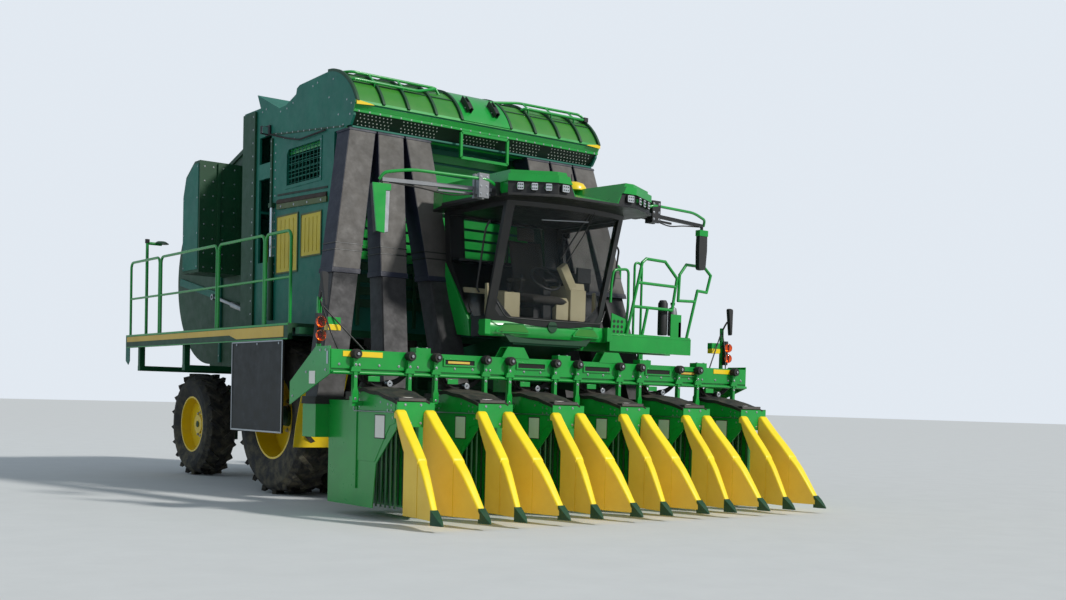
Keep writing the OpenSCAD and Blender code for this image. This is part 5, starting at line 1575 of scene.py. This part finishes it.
@dataclass
class Cab:
    """Glazed cab: roof with lamps, sills, bumper, wipers, seat and controls.

    The corner pair gives (x, y) where the roof's slanting corner leaves the front and where it
    meets the side.
    """

    roof_z: float = 3450.0
    lip: float = 20.0
    fascia: float = 125.0
    corner: tuple[Pair, ...] = ((560.0, 150.0), (1040.0, 420.0))
    dome_z: float = 3712.0
    floor_z: float = 2010.0
    bumper_half: float = 930.0
    bumper_y: float = 920.0
    bumper_bow: float = 100.0
    bumper_low: float = 1962.0
    bumper_tall: float = 175.0
    wheel_centre: tuple[float, float, float] = (0.0, 1070.0, 2660.0)

    def build(self) -> None:
        """Makes the cab's pieces."""
        self.roof()
        self.lamps()
        self.shell()
        self.inside()
        self.seat()
        self.trim()
        dress(GREEN, "cab_roof")
        dress(BLACK, "cab_frame", "cab_door")
        dress(GLASS, "cab_glass", "cab_door_glass")

    def _ring(self, grow: float) -> Array:
        """The roof's outline pushed outwards from its middle by about grow."""
        (x0, y0), (x1, y1) = self.corner
        half = np.array([[x0, y0], [x1, y1], [x1, 1700], [940, 2050]], float)
        outline = np.vstack([(half * (-1, 1))[1::-1], half, (half * (-1, 1))[:1:-1]])
        return outline + grow * np.sign(outline - (0, 1000))

    def roof(self) -> None:
        """Black lower lip and fascia faces, domed receiver, antenna and the roof's seams."""
        piece = Piece("roof_trim", "chassis", "black_paint")
        z, top = self.roof_z, self.dome_z
        low, high = z + self.lip, z + self.lip + self.fascia
        piece.put(BLACK, prism(self._ring(2.0), "z", z - 8, z))
        piece.put(BLACK, plate_ring(self._ring(2.0), self._ring(-60.0), "z", z, low + 1))
        start, end = np.array(self.corner)
        along = unit(end - start)
        out = np.array([along[1], -along[0]])
        for side in SIDES:
            a, b = start - out * 21, end - out * 21
            wall = np.stack([[(side * p[0], p[1], h) for h in (low, high)] for p in (a, b)])
            piece.put(BLACK, panel(wall, 4))
            front = [(side * x, h) for x, h in ((312, low), (560, low), (560, high), (368, high))]
            piece.put(BLACK, prism(front, "y", 171, 176))
            cap = [(side * p[0], p[1]) for p in (a, a + out * 24, b + out * 24, b)]
            piece.put(BLACK, prism(cap, "z", high - 3, high + 1))
            piece.put(DEEP_GREEN, tube([(side * 700, 700, top + 6), (side * 680, 1900, top + 6)], 7, 0, 8))
            piece.put(BLACK, flank(side, 1030, 1052, (560, low - 8), (1700, low + 26)))
        dome = [(0.1, 110), (60, 104), (118, 82), (148, 40), (152, 0), (0.1, 0)]
        piece.put(RIM_YELLOW, lathe(dome, (330, 1000, top), "z", 40))
        piece.put(BLACK, tube([(660, 1450, top), (660, 1450, z + 560)], 7, 0, 8))
        piece.put(BLACK, box((620, 1410, top), (700, 1490, top + 22)))
        piece.make(2.0, 40)

    def _lamp(self, width: float, height: float) -> tuple[Solid, Solid, Solid]:
        """A work lamp that faces -Y at the origin.

        Args:
            width: Across its face.
            height: Of its face.

        Returns:
            Its case, its bright face and its bowls, painted dark as shadow.
        """
        w, h = width / 2, height / 2
        outline = rounded([(-w, 0), (-w, -h), (w, -h), (w, h), (-w, h), (-w, 0)], 14)[:-1]
        bowl = lathe([(0.1, 0), (6, 0), (8, -4), (0.1, -5)], (0, -4, 0), "y", 10)
        spots = [(dx, 0, dz) for dx in (-0.55 * w, 0, 0.55 * w) for dz in (-0.42 * h, 0.42 * h)]
        return prism(outline, "y", 0, 26), prism(outline * 0.9, "y", -4, 1), bowl.repeated(spots)

    def lamps(self) -> None:
        """Clusters of work lamps on the fascia: three on each slanting corner and one in front."""
        piece = Piece("work_lamps", "chassis", "rod_steel")
        z = self.roof_z + self.lip + self.fascia / 2 + 8
        start, end = np.array(self.corner)
        slant = math.degrees(math.atan2(*(end - start)[::-1]))
        for side in SIDES:
            places = [(*(start + t * (end - start)), side * slant, 74) for t in (0.2, 0.48, 0.76)]
            places.append((470, start[1], 0, 104))
            for x, y, turn, width in places:
                # Painted shadow: the bowls take the dark shadow finish.
                for finish, solid in zip((PLASTIC, LAMP, SHADOW), self._lamp(width, 84)):
                    set_out = solid.moved(x=side * x, y=y - 12, z=z)
                    piece.put(finish, set_out.turned("Z", turn, (side * x, y, z)))
        piece.make(1.5)

    def shell(self) -> None:
        """Sills, side panels, bumper with recesses painted olive as shade, its round plate and the lower lip
        painted dark as shade.
        """
        piece = Piece("cab_shell", "chassis", "green_paint")
        # u runs across the bumper, v up it; it bows back to its ends and out at mid height.
        u, v = np.meshgrid(np.linspace(-1, 1, 25), np.linspace(0, 1, 6), indexing="ij")
        y = self.bumper_y + self.bumper_bow * np.abs(u) ** 2 + 30 * (v - 0.5) ** 2 * 4
        front = np.stack([self.bumper_half * u, y, self.bumper_low + self.bumper_tall * v], axis=-1)
        piece.put(GREEN, panel(front, 60))
        for side in SIDES:
            # Painted shade: the inner recess plate is olive.
            for finish, grow, proud in ((GREEN, 26, 12), (SHADED_BAY, 0, 17)):
                piece.put(finish, self._recess(side, grow, proud))
            piece.put(GREEN, flank(side, 860, 935, (940, 1975), (1060, 2140)))
            sill = [(1395, 2150), (1900, 2840), (1900, 2600), (1620, 1990), (1360, 1965)]
            piece.put(GREEN, side_plate(side, sill, 800, 853))
            pillar = [(1070, 2190), (1150, 2190), (1150, 2560), (1110, 2560)]
            piece.put(BEIGE, prism(pillar, "x", side * 790 - 12, side * 790 + 12))
        rail = [(-790, 915, 2330), (-700, 880, 2168), (0, 842, 2160), (700, 880, 2168), (790, 915, 2330)]
        piece.put(BLACK, tube(rail, 9, 60, 8))
        chin = [(-640, 1990), (640, 1990), (560, 1900), (-560, 1900)]
        # Painted shade: the lip under the bumper is dark green.
        piece.put(DEEP_GREEN, prism(chin, "y", 975, 1100))
        disc = [(0.1, 0), (70, 0), (66, -10), (0.1, -12)]
        piece.put(DEEP_GREEN, lathe(disc, (0, self.bumper_y - 2, 2098), "y", 32))
        piece.make(5.0)

    def _recess(self, side: int, grow: float, proud: float) -> Solid:
        """A recess plate on the bumper: flat below, sloping down at both ends above.

        Args:
            side: The sign of its X.
            grow: How much larger it is than the recess all round.
            proud: How far it stands before the bumper's bow.

        Returns:
            The bent sheet.
        """
        inner, outer, floor, roof = 340 - grow, 730 + grow, 2016 - grow * 0.6, 2098 + grow * 0.6
        px = np.linspace(inner, outer, 14)
        upper = np.interp(px, (inner, 410, 660, outer), (2026, roof, roof, 2026))
        y = self.bumper_y + self.bumper_bow * (px / self.bumper_half) ** 2 - proud
        edges = [np.column_stack([side * px, y, z]) for z in (np.full_like(px, floor), upper)]
        return panel(np.stack(edges), 4)

    def inside(self) -> None:
        """Console, pillar trim, steering wheel, screens and rear shelf."""
        piece = Piece("cab_furniture", "chassis", "cab_trim")
        floor = self.floor_z
        piece.put(BEIGE, box((330, 1000, floor), (560, 1500, 2560)))
        piece.put(BEIGE, box((-560, 1100, floor), (-340, 1500, 2480)))
        piece.put(BEIGE, beam((430, 1060, 2500), (190, 1010, 2830), 110, 80, REAR))
        dash = [(1010, 2050), (1080, 2050), (1080, 2380), (1040, 2460), (1000, 2410)]
        piece.put(BEIGE, prism(dash, "x", 120, 300))
        rest = [(1000, 2560), (1480, 2560), (1480, 2620), (1020, 2640)]
        piece.put(BEIGE, prism(rest, "x", 340, 540))
        piece.put(BLACK, box((440, 1010, 2650), (640, 1050, 2830)), box((560, 1100, 2560), (700, 1400, 2780)))
        piece.put(PLASTIC, beam((0, 1060, 2050), (0, 1070, 2560), 110, 80, REAR))
        centre = np.array(self.wheel_centre)
        angle = np.linspace(0, 2 * np.pi, 33)[:, None]
        circle = centre + np.hstack([190 * np.cos(angle), 120 * np.sin(angle), 130 * np.sin(angle)])
        piece.put(BLACK, tube(circle, 15, 0, 10))
        for spoke in (0, 11, 22):
            piece.put(BLACK, tube([centre - (0, 0, 10), circle[spoke]], 11, 0, 8))
        piece.put(BLACK, tube([(-300, 1150, 2480), (-300, 1130, 2680), (-320, 1120, 2700)], 14, 20, 8))
        piece.put(BLACK, box((-790, 1700, 2860), (790, 1870, 2890)))
        piece.put(BEIGE, box((-800, 1560, 2480), (800, 1600, 2540)))
        piece.put(BEIGE, box((-800, 1600, floor), (800, 1640, 2480)))
        piece.put(BLACK, box((-700, 960, floor - 4), (700, 1330, floor + 6)))
        piece.make(6.0, 50, ["cab_interior"])

    def seat(self) -> None:
        """Foam seat: cushion, back with side bolsters and head rest, each a sewn closed form."""
        piece = Piece("operator_seat", "chassis", "cab_trim")
        piece.put(SEAT, pad((0, 1200, 2430), (250, 0, 0), (0, 235, 25), 62, 0.16))
        piece.put(SEAT, pad((0, 1420, 2800), (240, 0, 0), (0, 75, 330), 55, 0.2))
        piece.put(SEAT, pad((0, 1478, 3215), (125, 0, 0), (0, 12, 82), 38, 0.0))
        for side in SIDES:
            piece.put(SEAT, pad((side * 300, 1240, 2640), (36, 0, 0), (0, 150, 10), 26, 0.0))
        piece.make(0, 60)
        stand = Piece("seat_stand", "chassis", "black_paint")
        # Half width, front, rear and height of the stand's sections, from the floor up.
        sections = ((210, 1040, 1380, 2012), (160, 1080, 1340, 2080), (150, 1090, 1330, 2330),
                    (220, 1010, 1400, 2366))
        rings = [[(-half, y0, z), (half, y0, z), (half, y1, z), (-half, y1, z)]
                 for half, y0, y1, z in sections]
        stand.put(BLACK, loft(rings))
        for side in SIDES:
            stand.put(BLACK, beam((side * 270, 1400, 2400), (side * 300, 1380, 2610), 30, 40, REAR))
        stand.make(5.0)

    def trim(self) -> None:
        """Wipers and grab handles."""
        piece = Piece("cab_trim", "chassis", "black_paint")
        piece.put(BLACK, tube([(250, 560, 3420), (120, 640, 3180), (-60, 720, 2860)], 9, 40, 8))
        piece.put(BLACK, tube([(300, 560, 3420), (200, 640, 3140), (40, 730, 2840)], 7, 40, 8))
        piece.put(STEEL, beam((-420, 620, 3260), (230, 590, 3300), 14, 10))
        handle = [(-880, 1150, 2450), (-915, 1150, 2500), (-915, 1000, 3150), (-880, 960, 3250)]
        piece.put(BLACK, tube(handle, 12, 40, 8))
        piece.make(2.0)


@dataclass
class Mirrors:
    """Mirror arms with guard tubes and tall mirror heads."""

    arm_z: float = 3510.0
    head_x: float = 2338.0

    def build(self) -> None:
        """Makes both arms and heads."""
        piece = Piece("mirror_arms", "chassis", "black_plastic")
        for side in SIDES:
            self._arm(piece, side, GREY_CAST if side == Side.RIGHT.value else BLACK)
        self._right_head(piece)
        self._left_head(piece)
        piece.make(4.0, 40, ["mirrors"])

    def _arm(self, piece: Piece, side: int, metal: Finish) -> None:
        """Bars, bracket plates, guard tube and cable of one arm.

        Args:
            piece: The piece that gathers the arm.
            side: The sign of its X.
            metal: The finish of its bars and plates.
        """
        z = self.arm_z
        bars = (((1020, 640, z), (2330, 880, z - 10), 46, 40),
                ((1020, 660, z - 50), (1700, 780, z - 55), 26, 24))
        for a, b, width, height in bars:
            piece.put(metal, beam((side * a[0], *a[1:]), (side * b[0], *b[1:]), width, height))
        guard = np.array([(1060, 600, z + 35), (1200, 560, z + 90), (2050, 740, z + 110), (2330, 830, z + 60),
                          (2360, 880, z - 10)], float)
        piece.put(GREEN, tube(guard * (side, 1, 1), 17, 110))
        for y in (560, 650):
            piece.put(metal, flank(side, 1190, 1320, (y, z - 110), (y + 40, z + 150)))
        piece.put(metal, flank(side, 1200, 1310, (600, z - 70), (650, z + 110)))
        heads = [(side * px, 560, z + dz) for px in (1215, 1295) for dz in (-70, 10, 110)]
        piece.bolt(heads, FRONT, 11, 7)
        piece.put(BLACK, flank(side, 1042, 1100, (560, z - 70), (760, z + 80)))
        piece.put(BLACK, tube([(side * 2335, 885, z), (side * self.head_x, 890, z - 90)], 20, 0))
        cable = np.array([(1330, 660, z - 70), (1600, 700, z - 110), (1900, 780, z - 60),
                          (2250, 860, z - 30)], float)
        piece.put(RUBBER, tube(cable * (side, 1, 1), 8, 120, 8))

    def _right_head(self, piece: Piece) -> None:
        """Green front cover that narrows downwards, silver edge and dark body."""
        body = [(-2450, 3448), (-2246, 3452), (-2258, 2960), (-2400, 2950)]
        cover = [(-2458, 3452), (-2240, 3458), (-2240, 3392), (-2300, 3386), (-2308, 2945), (-2402, 2958)]
        edge = [(-2298, 3384), (-2250, 3388), (-2262, 2962), (-2306, 2950)]
        piece.put(PLASTIC, prism(body, "y", 858, 916))
        piece.put(GREEN, prism(cover, "y", 838, 857))
        piece.put(STEEL, prism(edge, "y", 846, 862))
        # The mirror face is the body's outline drawn in by 4 % towards its own middle.
        piece.put(CHROME, prism(np.array(body) * 0.96 + (-94, 128), "y", 915, 919))

    def _left_head(self, piece: Piece) -> None:
        """Slim dark head with a green cap."""
        corners = [(0, 2945), (-64, 2950), (-72, 3200), (-66, 3440), (66, 3440), (70, 3200), (50, 2950),
                   (0, 2945)]
        outline = rounded(corners, 36)[:-1]
        at = np.array([self.head_x, 0.0])
        piece.put(PLASTIC, prism(outline + at, "y", 850, 915))
        piece.put(CHROME, prism(outline * (0.84, 1) + at, "y", 914, 918))
        piece.put(GREEN, box((self.head_x - 74, 844, 3372), (self.head_x + 74, 922, 3446)))


@dataclass
class RunningGear:
    """Rims' bolts and hubs, and the finishes of tyres, rims, axles and engine.

    A wheel's bolts stand on a face at x around (y, z), on a circle of the given radius.
    """

    front_face: float = 1834.0
    front_hub: float = 1880.0
    front_centre: Pair = (3850.0, 975.0)
    front_circle: float = 210.0
    rear_face: float = 1434.0
    rear_centre: Pair = (7700.0, 765.0)
    rear_circle: float = 180.0
    bolt_count: int = 12

    def _circle(self, x: float, centre: Pair, radius: float) -> Array:
        """Points evenly round a wheel's centre."""
        angle = turns(self.bolt_count)
        spokes = np.stack([np.cos(angle), np.sin(angle)], axis=1)
        return np.insert(centre + radius * spokes, 0, x, axis=1)

    def build(self) -> None:
        """Dresses the wheels and bolts the rims."""
        for side, name in ((Side.LEFT.value, "left"), (Side.RIGHT.value, "right")):
            out = (side, 0, 0)
            piece = Piece(f"front_rim_bolts_{name}", f"front_wheels_{name}", "rod_steel")
            circle = self._circle(side * self.front_face, self.front_centre, self.front_circle)
            piece.bolt(circle, out, 20, 22)
            hub = [(0.1, 0), (130, 0), (120, side * 60), (60, side * 80), (0.1, side * 80)]
            piece.put(DEEP_GREEN, lathe(hub, (side * self.front_hub, *self.front_centre), "x", 32))
            piece.make(1.5)
            rear = Piece(f"rear_rim_bolts_{name}", f"rear_wheel_{name}", "rod_steel")
            circle = self._circle(side * self.rear_face, self.rear_centre, self.rear_circle)
            rear.bolt(circle, out, 18, 20)
            rear.make(1.5)
        dress(TYRE, "front_tyres_left", "front_tyres_right", "rear_tyre_left", "rear_tyre_right")
        dress(RIM_YELLOW, "front_rims_left", "front_rims_right", "rear_rim_left", "rear_rim_right")
        dress(DEEP_GREEN, "axles", "knuckle_left", "knuckle_right", "chassis_frame", "lift_arms")
        dress(CAST, "engine_block")


@dataclass
class Studio:
    """Pale floor, soft light and the photograph's camera.

    Lengths that end in _px are pixels of the photograph; eye, fill and floor are in metres.
    """

    focal_px: float = 1252.54
    width_px: float = 1066.0
    half_height_px: float = 300.0
    centre_px: Pair = (530.33, 444.34)
    sensor_mm: float = 36.0
    eye: tuple[float, float, float] = (-8.974, -10.5236, 1.2283)
    yaw: float = 0.65
    pitch: float = -0.0339
    roll: float = 0.025
    floor_half: float = 150.0
    key_towards: tuple[float, float, float] = (-0.34, 0.66, -0.55)
    fill_place: tuple[float, float, float] = (-22.0, 14.0, 8.0)
    fill_towards: tuple[float, float, float] = (0.78, -0.58, -0.22)

    def camera(self) -> None:
        """A camera whose axes come from yaw, pitch and roll, with a shift for the crop."""
        data = bpy.data.cameras.new("photo_camera")
        data.sensor_width, data.sensor_fit = self.sensor_mm, "HORIZONTAL"
        data.lens = self.sensor_mm * self.focal_px / self.width_px
        data.shift_x = (self.width_px / 2 - self.centre_px[0]) / self.width_px
        data.shift_y = (self.centre_px[1] - self.half_height_px) / self.width_px
        data.clip_end = 2 * self.floor_half
        cos, sin = math.cos, math.sin
        ahead = np.array([sin(self.yaw) * cos(self.pitch), cos(self.yaw) * cos(self.pitch), sin(self.pitch)])
        right = np.array([cos(self.yaw), -sin(self.yaw), 0.0])
        up = np.cross(right, ahead)
        level, plumb = right, up
        right = cos(self.roll) * level + sin(self.roll) * plumb
        up = -sin(self.roll) * level + cos(self.roll) * plumb
        turn = Matrix(np.stack([right, up, -ahead], axis=1).tolist()).to_4x4()
        made = linked("photo_camera", data)
        made.matrix_world = Matrix.Translation((self.eye[0], self.eye[1] - MID_Y / 1000, self.eye[2])) @ turn
        bpy.context.scene.camera = made

    def floor(self) -> None:
        """A wide pale floor that is not part of the object."""
        mesh = bpy.data.meshes.new("studio_floor")
        half = self.floor_half
        corners = [(-half, -half, 0), (half, -half, 0), (half, half, 0), (-half, half, 0)]
        mesh.from_pydata(corners, [], [(0, 1, 2, 3)])
        paint = Finish("studio_floor_paint", "#cfd1d0", "#cbcdcc", 0.85, grain=0.0, dust=0.0)
        mesh.materials.append(material_of(paint))
        made = linked("studio_floor", mesh)

    def light(self) -> None:
        """A soft key from the front left of the machine, a cool panel on its right and a pale world."""
        key = bpy.data.lights.new("key", "SUN")
        key.energy, key.angle, key.color = 2.9, math.radians(5), (1.0, 0.975, 0.93)
        linked("key", key).rotation_euler = self._turn(self.key_towards)
        cool = bpy.data.lights.new("cool_panel", "AREA")
        cool.shape, cool.size, cool.size_y = "RECTANGLE", 22, 12
        cool.energy, cool.color = 420, (0.45, 0.80, 1.0)
        fill = linked("cool_panel", cool)
        fill.location, fill.rotation_euler = self.fill_place, self._turn(self.fill_towards)
        self._world()

    @staticmethod
    def _world() -> None:
        """A world that the camera sees pale, also through glass, and that lights dimmer and cooler."""
        world = bpy.data.worlds.new("studio_world")
        world.use_nodes = True
        tree = world.node_tree
        tree.nodes.clear()
        rays = node(tree, "ShaderNodeLightPath").outputs
        seen = node(tree, "ShaderNodeMath", {"operation": "MAXIMUM"}, _0=rays["Is Camera Ray"],
                    _1=rays["Is Transmission Ray"]).outputs[0]
        dim = node(tree, "ShaderNodeBackground", Color=(0.78, 0.88, 1.0, 1.0), Strength=0.46).outputs[0]
        pale = node(tree, "ShaderNodeBackground", Color=(0.80, 0.86, 0.93, 1.0), Strength=0.95).outputs[0]
        mixed = node(tree, "ShaderNodeMixShader", _0=seen, _1=dim, _2=pale).outputs[0]
        node(tree, "ShaderNodeOutputWorld", Surface=mixed)
        bpy.context.scene.world = world

    @staticmethod
    def _turn(towards: Point) -> Euler:
        """The rotation whose -Z looks along a direction."""
        ahead = unit(np.asarray(towards, float))
        right = unit(np.cross(ahead, (0.0, 0.0, 1.0)))
        up = np.cross(right, ahead)
        return Matrix(np.stack([right, up, -ahead], axis=1).tolist()).to_euler()

    def build(self) -> None:
        """Makes the studio."""
        self.camera()
        self.floor()
        self.light()
        bpy.context.scene.view_settings.view_transform = "Standard"


def main() -> None:
    """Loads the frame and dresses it."""
    logging.basicConfig(level=logging.INFO, format="%(message)s")
    CAD.update(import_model()["nodes"])
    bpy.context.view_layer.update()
    Studio().build()
    for part in (RunningGear(), Header(), Ducts(), Hood(), Body(), ModuleBuilder(), Platforms(), Cab(),
                 Mirrors()):
        part.build()
        log.info("built %s", type(part).__name__)


if __name__ == "__main__":
    main()
